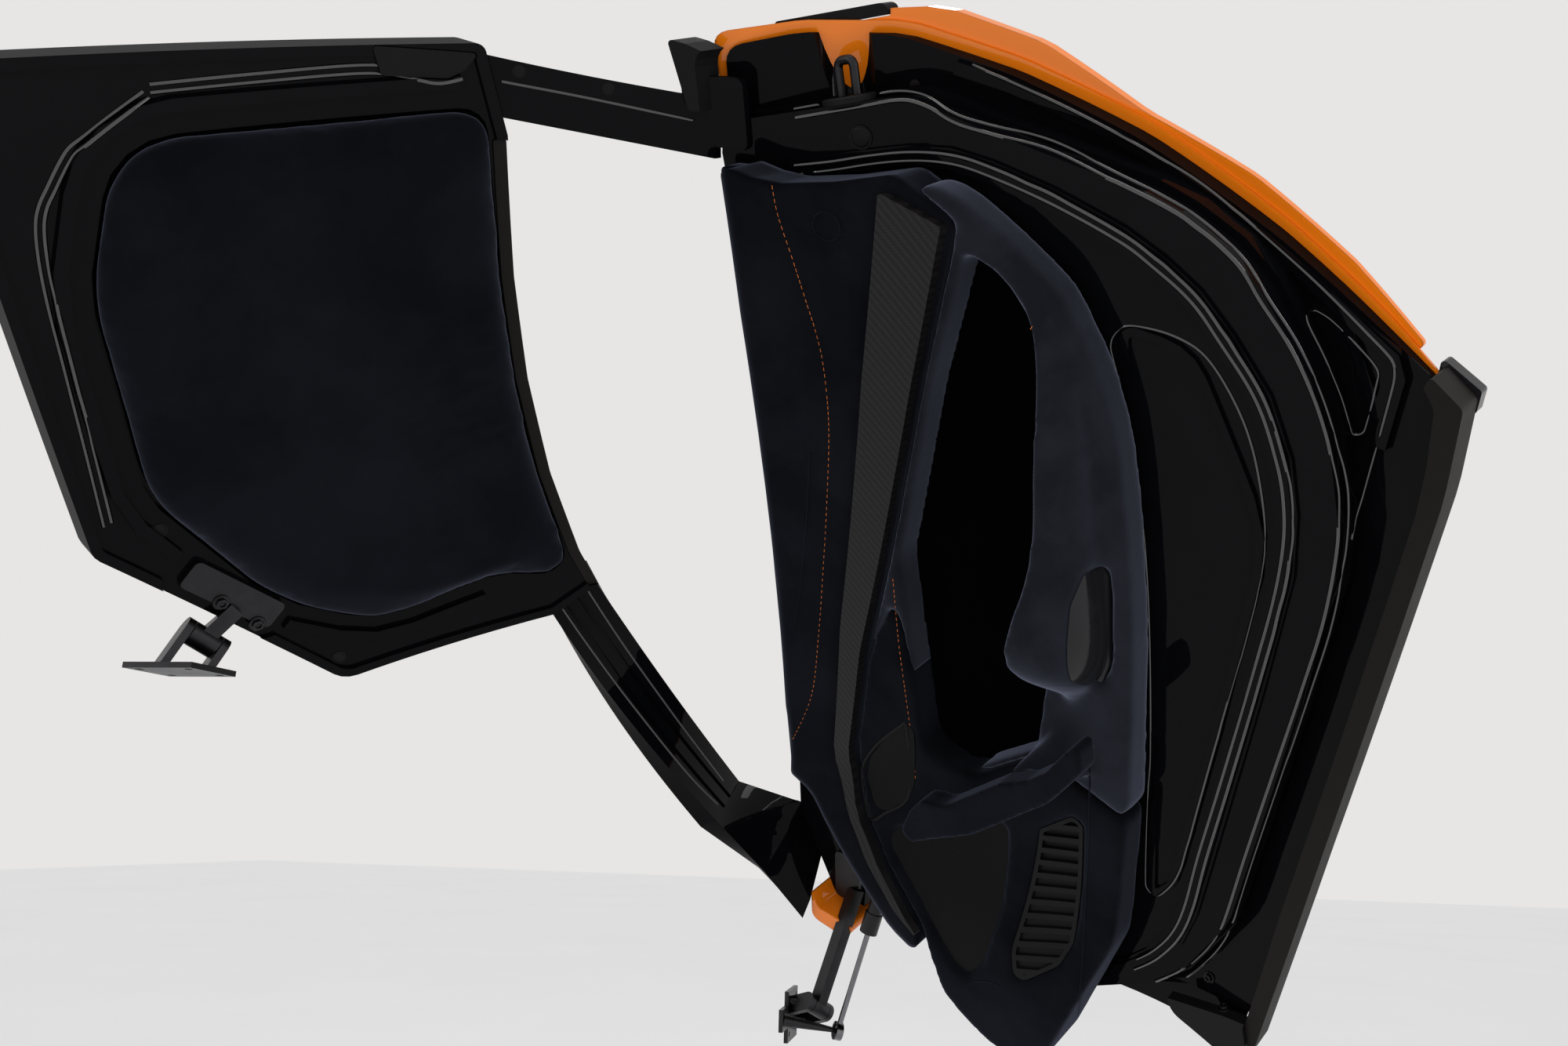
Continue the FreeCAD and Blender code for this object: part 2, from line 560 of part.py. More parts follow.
# Door card. Outlines in Y and Z: (y, z, corner radius)
CARD_PANEL = [(-1583, 912, 8), (-1571, 868, 60), (-1584, 802, 60), (-1602, 742, 14), (-1566, 684, 4),
              (-1386, 709, 300), (-1158, 733, 300), (-1014, 749, 200), (-842, 753, 60), (-757, 725, 60),
              (-707, 675, 100), (-657, 615, 60), (-600, 585, 10), (-619, 637, 60), (-681, 722, 60), (-719, 770, 30),
              (-748, 801, 40), (-762, 834, 8), (-870, 853, 60), (-1072, 870, 300), (-1424, 902, 300)]
CARD_TOP = [(-1575, 932, 6), (-1412, 922, 300), (-1212, 904, 300), (-1050, 891, 300), (-843, 872, 60),
            (-745, 860, 10), (-757, 826, 8), (-1072, 862, 300), (-1424, 892, 300), (-1576, 900, 6)]
DECOR_STRIP = [(-1586, 749, 3), (-1387, 763, 300), (-1201, 771, 300), (-1040, 778, 200), (-833, 775, 60),
               (-752, 738, 60), (-705, 694, 60), (-658, 634, 60), (-633, 582, 2), (-657, 617, 60), (-707, 677, 60),
               (-757, 727, 60), (-842, 755, 60), (-1014, 751, 200), (-1158, 735, 200), (-1386, 711, 200),
               (-1565, 688, 3)]
CARD_BODY = [(-1602, 740, 16), (-1594, 690, 40), (-1566, 645, 60), (-1523, 583, 60), (-1452, 535, 100),
             (-1389, 506, 200), (-1299, 480, 200), (-1180, 450, 300), (-950, 403, 10), (-900, 600, 10),
             (-1000, 690, 10), (-1014, 748, 10), (-1158, 732, 300), (-1386, 708, 300), (-1565, 683, 4)]
POCKET = [(-1544, 676, 10), (-1386, 702, 300), (-1158, 722, 60), (-1055, 700, 100), (-987, 685, 60),
          (-900, 664, 30), (-884, 610, 20), (-975, 524, 20), (-1119, 534, 300), (-1343, 552, 300), (-1454, 574, 60),
          (-1526, 636, 40)]
CARD_FRONT = [(-1100, 724, 6), (-1014, 749, 200), (-842, 753, 60), (-757, 725, 60), (-707, 675, 100),
              (-650, 600, 30), (-560, 548, 20), (-529, 482, 40), (-526, 425, 30), (-560, 400, 20), (-765, 374, 60),
              (-945, 404, 10), (-968, 520, 10), (-890, 592, 20), (-882, 640, 20), (-905, 666, 20), (-1000, 690, 100)]
HANDLE = [(-975, 522, 6), (-897, 583, 30), (-889, 612, 10), (-862, 625, 10), (-825, 632, 8), (-816, 614, 8),
          (-879, 541, 60), (-986, 462, 60), (-1050, 434, 6), (-1090, 446, 6), (-1010, 480, 60)]
TWEETER = [(-937, 681, 10), (-885, 713, 60), (-839, 731, 20), (-808, 730, 10), (-757, 704, 15), (-799, 673, 30),
           (-826, 666, 30), (-885, 672, 60)]
LOW_POCKET = [(-739, 697, 20), (-683, 620, 100), (-620, 545, 20), (-612, 522, 10), (-645, 507, 15), (-726, 510, 60),
              (-850, 540, 15)]
SLATS = [(-865, 497, 6), (-913, 462, 10), (-905, 448, 6), (-743, 416, 15), (-708, 421, 15), (-648, 462, 15),
         (-690, 480, 30)]
LAMP = [(-1258, 498, 5), (-1245, 486, 5), (-1140, 464, 10), (-1100, 468, 5), (-1130, 482, 20), (-1220, 498, 20)]

# Armrest sections: station, crease's height, ridge's height, ridge in front of the pressing
ARMREST = [(-1570, 690, 700, 40), (-1526, 618, 634, 52), (-1495, 580, 597, 66), (-1454, 552, 575, 86),
           (-1343, 517, 552, 105), (-1234, 488, 543, 111), (-1119, 470, 534, 112), (-985, 448, 523, 112)]
CREASE_DEPTH = 46.0


def on_card(extra):
    """The card's face in front of the pressing; it rises towards the front, most at mid height."""
    return (lambda z: size["card_depth"] + extra), True


def strut_space():
    """Room for the strut between the card's wall and the outer skin."""
    return side_layer(on_card(-size["card_wall"]), level(-60)).common(side_prism(STRUT_SPACE))


def armrest_section(y, low, ridge_height, depth):
    gap = size["seat_gap"]
    root = Vector(side_x(y, low, gap), y, low)
    crease = Vector(side_x(y, low, min(CREASE_DEPTH, depth - 4)), y, low)
    rise = ridge_height - low
    belly = Vector(side_x(y, low, CREASE_DEPTH + (depth - CREASE_DEPTH) * 0.72), y, low + rise * 0.3)
    crest = Vector(side_x(y, ridge_height, depth), y, ridge_height)
    back = Vector(side_x(y, ridge_height, gap), y, ridge_height)
    return Part.Wire([line(root, crease), arc(crease, belly, crest), line(crest, back), line(back, root)])


def slats():
    """The speaker grille: a bed with slanted slats standing on it."""
    bed = side_layer(on_card(-6), on_card(-10 + size["seat_gap"])).common(side_prism(SLATS))
    bars = None
    for index in range(14):
        y = -930 + index * size["slat_pitch"] * 1.35
        path = [(y, 400), (y + 60, 500)]
        bar = side_prism(ribbon(path, size["slat_width"]))
        bars = bar if bars is None else bars.fuse(bar)
    rim = side_prism(SLATS).cut(side_prism(grown(SLATS, -5)))
    standing = side_layer(on_card(-1), on_card(-6.5)).common(side_prism(SLATS))
    return bed.fuse([standing.common(bars), standing.common(rim)])


def make_card():
    gap = size["seat_gap"]
    base = level(gap)
    space = strut_space()
    thick = side_layer(on_card(0), base)
    panel_prism = side_prism(grown(CARD_PANEL, gap))
    front_prism = side_prism(grown(CARD_FRONT, gap))
    top = side_layer(level(20), base).common(side_prism(CARD_TOP))
    piece("card_panel", thick.common(side_prism(CARD_PANEL)).fuse(top), door_place)
    strip = side_layer(on_card(size["strip_wall"]), on_card(gap))
    piece("decor_strip", strip.common(side_prism(DECOR_STRIP)), door_place)
    front = thick.common(side_prism(CARD_FRONT).cut(panel_prism)).cut(space)
    cover = side_layer(on_card(30), on_card(-10))
    recess = side_layer(on_card(30), on_card(-3))
    front = front.cut(recess.common(side_prism(grown(TWEETER, gap))))
    front = front.cut(cover.common(side_prism(grown(LOW_POCKET, gap))))
    front = front.cut(cover.common(side_prism(grown(SLATS, gap))))
    armrest = loft([armrest_section(*row) for row in ARMREST]).cut(side_block(base))
    body = thick.common(side_prism(CARD_BODY)).cut(side_prism(POCKET)).fuse(armrest)
    body = body.cut(panel_prism).cut(front_prism)
    handle = side_layer(on_card(76), on_card(44)).common(side_prism(HANDLE))
    body = body.cut(side_layer(on_card(77), on_card(43)).common(side_prism(grown(HANDLE, gap))))
    lamp_body = body.common(side_prism(LAMP))
    piece("card_body", body.cut(side_prism(grown(LAMP, gap))), door_place)
    piece("courtesy_lamp", lamp_body, door_place)
    floor = side_layer(level(size["pocket_floor"]), base)
    lining = floor.common(side_prism(grown(POCKET, -gap)).cut(front_prism)).cut(body)
    piece("pocket_liner", lining, door_place)
    piece("card_front", front, door_place)
    piece("pull_handle", handle, door_place)
    grille = side_layer(on_card(0), on_card(-3 + gap)).common(side_prism(TWEETER))
    piece("tweeter_grille", grille, door_place)
    low_liner = side_layer(on_card(-7), on_card(-10 + gap)).common(side_prism(LOW_POCKET))
    piece("lower_pocket", low_liner, door_place)
    piece("slat_grille", slats(), door_place)


def make_trims():
    gap = size["seat_gap"]
    fin = panel(REAR_FIN, 24, -6)
    piece("rear_fin_cover", fin.cut(rear_bar()).cut(side_prism(grown(EDGE, gap))), door_place)
    piece("sill_lens", panel(LENS, -size["sill_high"] - gap, -size["sill_high"] - 14), door_place)
    fin = panel(FRONT_FIN, 0, -14).cut(side_prism(grown(EDGE, gap))).cut(side_prism(grown(SILL, gap)))
    piece("front_fin", fin, door_place)
    cap = panel(SHOULDER, 40, -30).cut(side_prism(grown(EDGE, gap))).cut(side_prism(grown(FIELD, gap)))
    piece("shoulder_cap", cap.cut(lower_arm_bar(2 * gap)), door_place)


# Latch hook, hinges and strut: turned, padded and drilled pieces whose sizes come from the sheet
def cell(name):
    return "Sizes." + name


def frame_of(place, base, along, across):
    """A placement whose Z lies along one direction and whose X lies along another, square to it."""
    return place * Placement(base, Rotation(across, Vector(), along, "ZXY"))


def primitive(kind, name, base=None, turn=None, **sizes):
    """A Part primitive whose sizes follow the sheet."""
    thing = doc.addObject("Part::" + kind, name)
    for key, expression in sizes.items():
        thing.setExpression(key, expression)
    thing.Placement = Placement(base or Vector(), turn or Rotation())
    return thing


def joined(name, things):
    fused = doc.addObject("Part::MultiFuse", name)
    fused.Shapes = things
    fused.Refine = True
    return fused


def keep_piece(feature, name, place):
    """Label and place a finished document object as one of the door's pieces."""
    feature.Label = name
    feature.Placement = place
    nodes.append(feature)


def circle_sketch(body, name, role, radius, lift=None, aside=None):
    """A circle on one of the body's own planes; lift moves the plane and aside the centre."""
    sketch = body.newObject("Sketcher::SketchObject", name)
    plane = next(item for item in body.Origin.OriginFeatures if item.Role == role)
    sketch.AttachmentSupport = [(plane, "")]
    sketch.MapMode = "FlatFace"
    ring = sketch.addGeometry(Part.Circle(Vector(0, 5, 0), Vector(0, 0, 1), 5), False)
    bound = sketch.addConstraint(Sketcher.Constraint("Radius", ring, 5))
    sketch.setExpression("Constraints[%d]" % bound, radius)
    if aside:
        sketch.addConstraint(Sketcher.Constraint("PointOnObject", ring, 3, -2))
        bound = sketch.addConstraint(Sketcher.Constraint("DistanceY", -1, 1, ring, 3, 5))
        sketch.setExpression("Constraints[%d]" % bound, aside)
    else:
        sketch.addConstraint(Sketcher.Constraint("Coincident", ring, 3, -1, 1))
    if lift:
        sketch.setExpression(".AttachmentOffset.Base.z", lift)
    return sketch


def shaped(body, kind, name, sketch, length, both=False):
    """A pad or pocket of a sketch."""
    feature = body.newObject("PartDesign::" + kind, name)
    feature.Profile = sketch
    feature.setExpression("Length", length)
    if both:
        feature.SideType = "Symmetric"
    sketch.Visibility = False
    doc.recompute()
    return feature


def latch_seat():
    """Where the latch hook stands on the jamb face, the way it points and the way up along the jamb."""
    upper, lower = Vector(0, *FIELD[1][:2]), Vector(0, *FIELD[2][:2])
    share = (upper.z - size["latch_height"]) / (upper.z - lower.z)
    seat = upper + (lower - upper) * share
    seat.x = side_x(seat.y, seat.z, size["latch_inset"])
    rearward = Vector(0, lower.z - upper.z, upper.y - lower.y).normalize()
    upward = Vector(0, rearward.z, -rearward.y)
    return seat, rearward, upward


def make_latch():
    seat, rearward, upward = latch_seat()
    body = doc.addObject("PartDesign::Body", "LatchBase")
    disc = circle_sketch(body, "LatchDisc", "XY_Plane", cell("latch_radius"))
    shaped(body, "Pad", "LatchPlate", disc, cell("latch_wall"))
    rim = body.newObject("PartDesign::Chamfer", "LatchRim")
    edges = body.Tip.Shape.Edges if body.Tip != rim else rim.BaseFeature.Shape.Edges
    top = [index for index, edge in enumerate(edges, start=1) if edge.BoundBox.ZMin > size["latch_wall"] / 2]
    rim.Base = (doc.getObject("LatchPlate"), ["Edge%d" % index for index in top])
    rim.Size = 1.5
    place = frame_of(door_place, seat + rearward * size["seat_gap"], rearward, upward)
    keep_piece(body, "latch_base", place)
    things = []
    straight = "%s - %s" % (cell("hook_rise"), cell("hook_bend"))
    for side, name in ((-1, "Low"), (1, "High")):
        leg = primitive("Cylinder", "Leg" + name, Vector(side * size["hook_half"], 0, 0),
                        Radius=cell("hook_radius"), Height=straight)
        turn = Rotation(Vector(1, 0, 0), 90) if side > 0 else Rotation(Vector(0, 1, 0), -90) * Rotation(
            Vector(1, 0, 0), 90)
        corner = Vector(side * (size["hook_half"] - size["hook_bend"]), 0, size["hook_rise"] - size["hook_bend"])
        elbow = primitive("Torus", "Elbow" + name, corner, turn, Radius1=cell("hook_bend"),
                          Radius2=cell("hook_radius"))
        elbow.Angle3 = 90
        things += [leg, elbow]
    reach = size["hook_half"] - size["hook_bend"]
    bridge = primitive("Cylinder", "Bridge", Vector(-reach, 0, size["hook_rise"]), Rotation(Vector(0, 1, 0), 90),
                       Radius=cell("hook_radius"), Height="2 * (%s - %s)" % (cell("hook_half"), cell("hook_bend")))
    above = size["latch_wall"] + 2 * size["seat_gap"]
    keep_piece(joined("LatchHook", things + [bridge]), "latch_hook",
               frame_of(door_place, seat + rearward * above, rearward, upward))


def bracket(name, pin_centre, root, seat, drill, extra=()):
    """A body-side bracket: drilled plate, two cheeks on webs and the pin between them."""
    a = hinge_axis
    across = a.cross(root).normalize()
    facing = Rotation(across, Vector(), a, "ZXY")
    half = size["knuckle_length"] / 2 + size["cheek_gap"]
    cheek = size["cheek_thickness"]
    things = []
    for side, tag in ((-half - cheek, "Near"), (half, "Far")):
        start = pin_centre + a * side
        things.append(primitive("Cylinder", name + "Cheek" + tag, start, facing, Radius=cell("knuckle_radius"),
                                Height=cell("cheek_thickness")))
        corner = start - across * size["knuckle_radius"]
        web = primitive("Box", name + "Web" + tag, corner, Rotation(root, Vector(), a, "ZXY"),
                        Length="%f + 20" % (seat - pin_centre).Length, Width="2 * " + cell("knuckle_radius"),
                        Height=cell("cheek_thickness"))
        if Rotation(root, Vector(), a, "ZXY").multVec(Vector(0, 1, 0)).dot(across) < 0:
            web.Placement = Placement(start + across * size["knuckle_radius"], web.Placement.Rotation)
        things.append(web)
    things.append(primitive("Cylinder", name + "Pin", pin_centre - a * (half + cheek), facing,
                            Radius=cell("pin_radius"),
                            Height="%s + 2 * %s + 2 * %s" % (cell("knuckle_length"), cell("cheek_gap"),
                                                             cell("cheek_thickness"))))
    things += list(extra)
    rows, columns = size["bolt_rows"] / 2, size["bolt_columns"] / 2
    margin, wall = size["plate_margin"], size["plate_wall"]
    long_side = "%s + 2 * %s" % (cell("bolt_rows"), cell("plate_margin"))
    short_side = "%s + 2 * %s" % (cell("bolt_columns"), cell("plate_margin"))
    if drill.x:
        plate = primitive("Box", name + "Plate", seat - Vector(0, rows + margin, columns + margin),
                          Length=cell("plate_wall"), Width=long_side, Height=short_side)
        room = primitive("Box", name + "Room", seat - Vector(0, 300, 300), Length="400", Width="600", Height="600")
        places = [Vector(-1, j * rows, k * columns) for j in (-1, 1) for k in (-1, 1)]
        turn = Rotation(Vector(0, 1, 0), 90)
    else:
        plate = primitive("Box", name + "Plate", seat - Vector(rows + margin, columns + margin, 0),
                          Length=long_side, Width=short_side, Height=cell("plate_wall"))
        room = primitive("Box", name + "Room", seat - Vector(300, 300, 0), Length="600", Width="600", Height="400")
        places = [Vector(j * rows, k * columns, -1) for j in (-1, 1) for k in (-1, 1)]
        turn = Rotation()
    trimmed = doc.addObject("Part::MultiCommon", name + "Trimmed")
    trimmed.Shapes = [joined(name + "Welded", things), room]
    solid = joined(name + "Solid", [trimmed, plate])
    holes = []
    for index, place in enumerate(places, start=1):
        holes.append(primitive("Cylinder", "%sHole%d" % (name, index), seat + place, turn,
                               Radius=cell("bolt_radius"), Height="3 * " + cell("plate_wall")))
    drilled = doc.addObject("Part::Cut", name)
    drilled.Base = solid
    drilled.Tool = joined(name + "Holes", holes)
    drilled.Refine = True
    return drilled


def ball_post():
    """The strut's ball: a lug in line with the bracket's plate and a tapered post square to the strut."""
    towards = strut_normal * -1
    wall = size["plate_wall"]
    length = (stud.x - origin.x - wall / 2) / abs(towards.x)
    foot = stud + towards * length
    turn = Rotation(Vector(0, 0, 1), strut_normal)
    post = primitive("Cone", "BallPost", foot, turn, Radius1=cell("post_foot"), Radius2=cell("post_tip"),
                     Height="%f" % length)
    half = size["lug_half"]
    corner = Vector(origin.x, foot.y - half, foot.z - half)
    lug = primitive("Box", "BallLug", corner, Length=cell("plate_wall"),
                    Width="%f" % (origin.y - corner.y), Height="2 * " + cell("lug_half"))
    ball = primitive("Sphere", "Ball", stud, Radius=cell("ball_radius"))
    return [lug, post, ball]


def knuckle(centre):
    length = size["knuckle_length"]
    start = centre - hinge_axis * (length / 2)
    return Part.makeCylinder(size["knuckle_radius"], length, start, hinge_axis)


def knuckle_bore(centre):
    length = 3 * size["knuckle_length"]
    start = centre - hinge_axis * (length / 2)
    return Part.makeCylinder(size["pin_radius"] + size["pin_clearance"], length, start, hinge_axis)


def bar_between(a, b, up, width, thickness):
    """A straight bar of rectangular section; its width lies along up."""
    along = (b - a).normalize()
    side = (up - along * up.dot(along)).normalize() * (width / 2)
    thin = along.cross(side).normalize() * (thickness / 2)
    corners = [a + side * i + thin * j for i, j in ((-1, -1), (1, -1), (1, 1), (-1, 1))]
    return Part.Face(Part.makePolygon(corners + corners[:1])).extrude(b - a)


ARM_PAD = Vector(0, -540, 752)
ARM_FLANGE = [(-600, 746, 8), (-514, 746, 8), (-514, 780, 8), (-600, 790, 8)]


def lower_arm_bar(extra=0.0):
    y, z = ARM_PAD.y, ARM_PAD.z
    seat = Vector(side_x(y, z, size["seat_gap"] + 5), y, z)
    return bar_between(lower_pin, seat, hinge_axis, size["arm_width"] + extra, size["arm_wall"] + extra)


def make_hinges():
    gap = size["seat_gap"]
    lower = bracket("LowerBracket", lower_pin, lower_root, origin, Vector(1, 0, 0), ball_post())
    keep_piece(lower, "lower_bracket", body_place)
    upper = bracket("UpperBracket", upper_pin, upper_root, upper_seat, Vector(0, 0, 1))
    keep_piece(upper, "upper_bracket", body_place)
    arm = knuckle(lower_pin).fuse(lower_arm_bar()).fuse(panel(ARM_FLANGE, 9, gap))
    arm = arm.cut(side_layer(level(gap), level(-200))).cut(knuckle_bore(lower_pin))
    piece("lower_hinge_arm", arm.removeSplitter(), door_place)
    roof_low = size["roof_frame_low"]
    middle = Vector(UPPER_PAD.x, UPPER_PAD.y, roof_z(UPPER_PAD.x, UPPER_PAD.y, roof_low - gap - 4))
    bar = bar_between(upper_pin, middle, hinge_axis, size["arm_width"], size["arm_wall"])
    arm = knuckle(upper_pin).fuse(bar).fuse(roof_panel(UPPER_FLANGE, roof_low - 8, roof_low - gap))
    arm = arm.cut(roof_layer(roof_low - gap, 200)).cut(knuckle_bore(upper_pin))
    piece("upper_hinge_arm", arm.removeSplitter(), door_place)


# The strut: its pin on the door, its ball on the body and the directions between them
strut_pin = Vector(side_x(size["strut_y"], size["strut_z"], -size["strut_depth"]), size["strut_y"], size["strut_z"])
open_eye = swing.inverse().multVec(stud)
open_reach = (open_eye - strut_pin).Length
strut_along = (open_eye - strut_pin).normalize()
closed_along = (stud - strut_pin).normalize()
towards_closed = (closed_along - strut_along * closed_along.dot(strut_along)).normalize()
turn_axis = strut_along.cross(towards_closed)
lean = math.radians(size["strut_lean"])
turn_axis = turn_axis * math.cos(lean) + towards_closed * math.sin(lean)
strut_axis = turn_axis if turn_axis.z > 0 else turn_axis * -1
strut_normal = (swing.multVec(strut_pin) - stud).cross(strut_pin - stud).normalize()


def make_strut():
    clearance = cell("pin_clearance")
    reach = "%f" % open_reach
    pin = doc.addObject("PartDesign::Body", "StrutPin")
    half = "%s / 2 + 0.5" % cell("socket_width")
    shank = circle_sketch(pin, "PinShank", "XY_Plane", cell("pivot_radius"), "-(%s)" % half)
    shaped(pin, "Pad", "PinBar", shank, "%s + %s + %s" % (half, cell("pivot_reach"), cell("pivot_root")))
    head = circle_sketch(pin, "PinHead", "XY_Plane", cell("pivot_head"), "-(%s) - %s" % (half, cell("pivot_wall")))
    shaped(pin, "Pad", "PinDisc", head, cell("pivot_wall"))
    collar = circle_sketch(pin, "PinCollar", "XY_Plane", cell("pivot_head"),
                           "%s - 4 - %s" % (cell("pivot_reach"), cell("pivot_wall")))
    shaped(pin, "Pad", "PinRing", collar, cell("pivot_wall"))
    keep_piece(pin, "strut_door_stud", frame_of(door_place, strut_pin, strut_axis, strut_along))

    tube = doc.addObject("PartDesign::Body", "StrutTube")
    wall = circle_sketch(tube, "TubeRing", "XY_Plane", cell("tube_radius"), cell("tube_start"))
    shaped(tube, "Pad", "TubeBody", wall, cell("tube_length"))
    mouth = "%s + %s" % (cell("tube_start"), cell("tube_length"))
    ring = circle_sketch(tube, "CollarRing", "XY_Plane", cell("collar_radius"), "%s - %s" % (mouth, cell("collar_length")))
    shaped(tube, "Pad", "Collar", ring, cell("collar_length"))
    neck = circle_sketch(tube, "NeckRing", "XY_Plane", cell("rod_radius") + " * 1.5")
    shaped(tube, "Pad", "Neck", neck, cell("tube_start") + " + 2")
    eye = circle_sketch(tube, "EyeRing", "YZ_Plane", cell("socket_radius"))
    shaped(tube, "Pad", "Eye", eye, cell("socket_width"), True)
    bore = circle_sketch(tube, "BoreRing", "XY_Plane", "%s + %s" % (cell("rod_radius"), cell("rod_clearance")), mouth)
    shaped(tube, "Pocket", "Bore", bore, "%s - %s" % (cell("tube_length"), cell("bore_floor")))
    hole = circle_sketch(tube, "PinHole", "YZ_Plane", "%s + %s" % (cell("pivot_radius"), clearance))
    shaped(tube, "Pocket", "PinBore", hole, "2 * " + cell("socket_width"), True)
    keep_piece(tube, "strut_cylinder", frame_of(door_place, strut_pin, strut_along, strut_axis))

    rod = doc.addObject("PartDesign::Body", "StrutRod")
    start = "%s - %s" % (mouth, cell("rod_overlap"))
    bar = circle_sketch(rod, "RodRing", "XY_Plane", cell("rod_radius"), start)
    wall = "%s + %s + 1" % (cell("ball_radius"), cell("eye_clearance"))
    shaped(rod, "Pad", "Rod", bar, "%s - (%s) - (%s)" % (reach, wall, start))
    ring = circle_sketch(rod, "RodEyeRing", "YZ_Plane", cell("eye_radius"), None, reach)
    shaped(rod, "Pad", "RodEye", ring, cell("eye_length"), True)
    hole = circle_sketch(rod, "RodEyeHole", "YZ_Plane", "%s + %s" % (cell("ball_radius"), cell("eye_clearance")),
                         None, reach)
    shaped(rod, "Pocket", "RodEyeBore", hole, "2 * " + cell("eye_length"), True)
    eye_axis = swing.inverse().Rotation.multVec(strut_normal)
    keep_piece(rod, "strut_rod", frame_of(door_place, strut_pin, strut_along, eye_axis))
    print("strut: pivot", door_place.multVec(strut_pin), "axis", swing.Rotation.multVec(turn_axis),
          "slide", swing.Rotation.multVec(strut_along), "reach", open_reach)
    print("door: axis", hinge_axis, "lower pin", body_place.multVec(lower_pin))
    print("upper seat", body_place.multVec(upper_seat))


make_latch()
make_hinges()
make_strut()
make_roof()
make_bars()
make_lower_door()
make_card()
make_trims()
doc.recompute()

failed = [thing.Name for thing in doc.Objects if "Invalid" in thing.State or "Error" in thing.State]
if failed:
    raise RuntimeError("failed objects: %s" % failed)
for feature in nodes:
    shape = feature.Shape
    if shape.isNull() or not shape.isValid() or len(shape.Solids) != 1:
        raise RuntimeError("bad shape: %s" % feature.Label)
os.makedirs("parts", exist_ok=True)
for feature in nodes:
    shape = feature.Shape
    print(feature.Label, shape.ShapeType, len(shape.Solids), round(shape.Volume / 1000.0, 1))
    shape.exportStep("parts/%s.step" % feature.Label)
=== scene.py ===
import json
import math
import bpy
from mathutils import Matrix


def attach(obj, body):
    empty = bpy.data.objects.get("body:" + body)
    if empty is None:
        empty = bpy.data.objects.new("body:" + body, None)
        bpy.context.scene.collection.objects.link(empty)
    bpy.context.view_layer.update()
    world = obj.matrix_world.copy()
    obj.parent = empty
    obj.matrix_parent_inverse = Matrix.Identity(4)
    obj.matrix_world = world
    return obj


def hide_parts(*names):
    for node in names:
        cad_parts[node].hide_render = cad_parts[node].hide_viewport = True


bl_info = {
    "name": "Butterfly Door Dressing",
    "version": (1, 0, 0),
    "blender": (4, 5, 0),
    "location": "3D View > Sidebar > Door",
    "description": "Dresses the opened supercar door in lacquer, suede, stitching and fasteners",
    "category": "Object",
}

import bpy
from bpy.props import FloatProperty, FloatVectorProperty, IntProperty, PointerProperty
from mathutils import Matrix, Vector
from mathutils.bvhtree import BVHTree

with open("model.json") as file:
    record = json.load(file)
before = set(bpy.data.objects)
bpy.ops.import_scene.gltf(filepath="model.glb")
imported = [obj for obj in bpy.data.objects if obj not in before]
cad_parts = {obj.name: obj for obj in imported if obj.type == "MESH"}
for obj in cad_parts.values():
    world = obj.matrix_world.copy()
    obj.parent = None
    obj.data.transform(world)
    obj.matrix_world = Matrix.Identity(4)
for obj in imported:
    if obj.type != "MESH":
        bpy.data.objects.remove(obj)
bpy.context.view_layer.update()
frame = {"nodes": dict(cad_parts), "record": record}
DOOR_JOINT = frame["record"]["behaviour"]["joints"][0]
HINGE_AXIS = Vector(DOOR_JOINT["axis"]).normalized()
OPEN_ANGLE = math.radians(-DOOR_JOINT["range_deg"][0])

# The car's outboard direction, swung open with the door
OUTBOARD = Matrix.Rotation(OPEN_ANGLE, 3, HINGE_AXIS) @ Vector((1, 0, 0))

# Where the skin's inboard side is given black lacquer: how far it may face outboard, and how high it reaches
MASK_FACING = 0.3
MASK_TOP = 0.25


def colour_property(name, description, default):
    return FloatVectorProperty(name=name, description=description, subtype="COLOR", size=3, min=0, max=1,
                               default=default)


def length_property(name, description, default, lowest, highest):
    return FloatProperty(name=name, description=description, default=default, min=lowest, max=highest,
                         subtype="DISTANCE", unit="LENGTH")


def angle_property(name, description, degrees):
    return FloatProperty(name=name, description=description, default=math.radians(degrees), subtype="ANGLE",
                         unit="ROTATION")


class DoorFinishes(bpy.types.PropertyGroup):
    orange: colour_property("Orange lacquer", "Colour of the outer skin", (0.92, 0.215, 0.006))
    black: colour_property("Black lacquer", "Colour of the pressing and frames", (0.0022, 0.0023, 0.0030))
    suede: colour_property("Suede", "Colour of the card and headliner", (0.0085, 0.0088, 0.0115))
    # Brushed nap colour of the armrest alone, painted lighter: painted light for light falling on the
    # armrest's top and rim
    lit_suede_brushed: colour_property("Brushed suede", "Colour of nap brushed back", (0.022, 0.024, 0.032))
    thread: colour_property("Thread", "Colour of the stitching", (0.58, 0.15, 0.02))
    strip: colour_property("Decor strip", "Colour of the woven strip", (0.0115, 0.0100, 0.0102))
    plastic: colour_property("Matte plastic", "Colour of the moulded trims", (0.0050, 0.0050, 0.0056))
    rubber: colour_property("Seal rubber", "Colour of the seals", (0.0062, 0.0052, 0.0046))


class DoorTrim(bpy.types.PropertyGroup):
    voxel: length_property("Trim voxel", "Mesh size of the soft trim", 0.0034, 0.002, 0.01)
    headliner_cap: length_property("Headliner swell", "Most that the headliner may swell", 0.009, 0, 0.03)
    stitch_pitch: length_property("Stitch pitch", "From one stitch to the next", 0.0062, 0.002, 0.02)
    stitch_length: length_property("Stitch length", "Length of one stitch", 0.0044, 0.001, 0.02)
    stitch_radius: length_property("Thread radius", "Radius of the thread", 0.00036, 0.0002, 0.002)
    cloth_frames: IntProperty(name="Cloth frames", description="Frames of the foam simulation", default=16,
                              min=1, max=40)


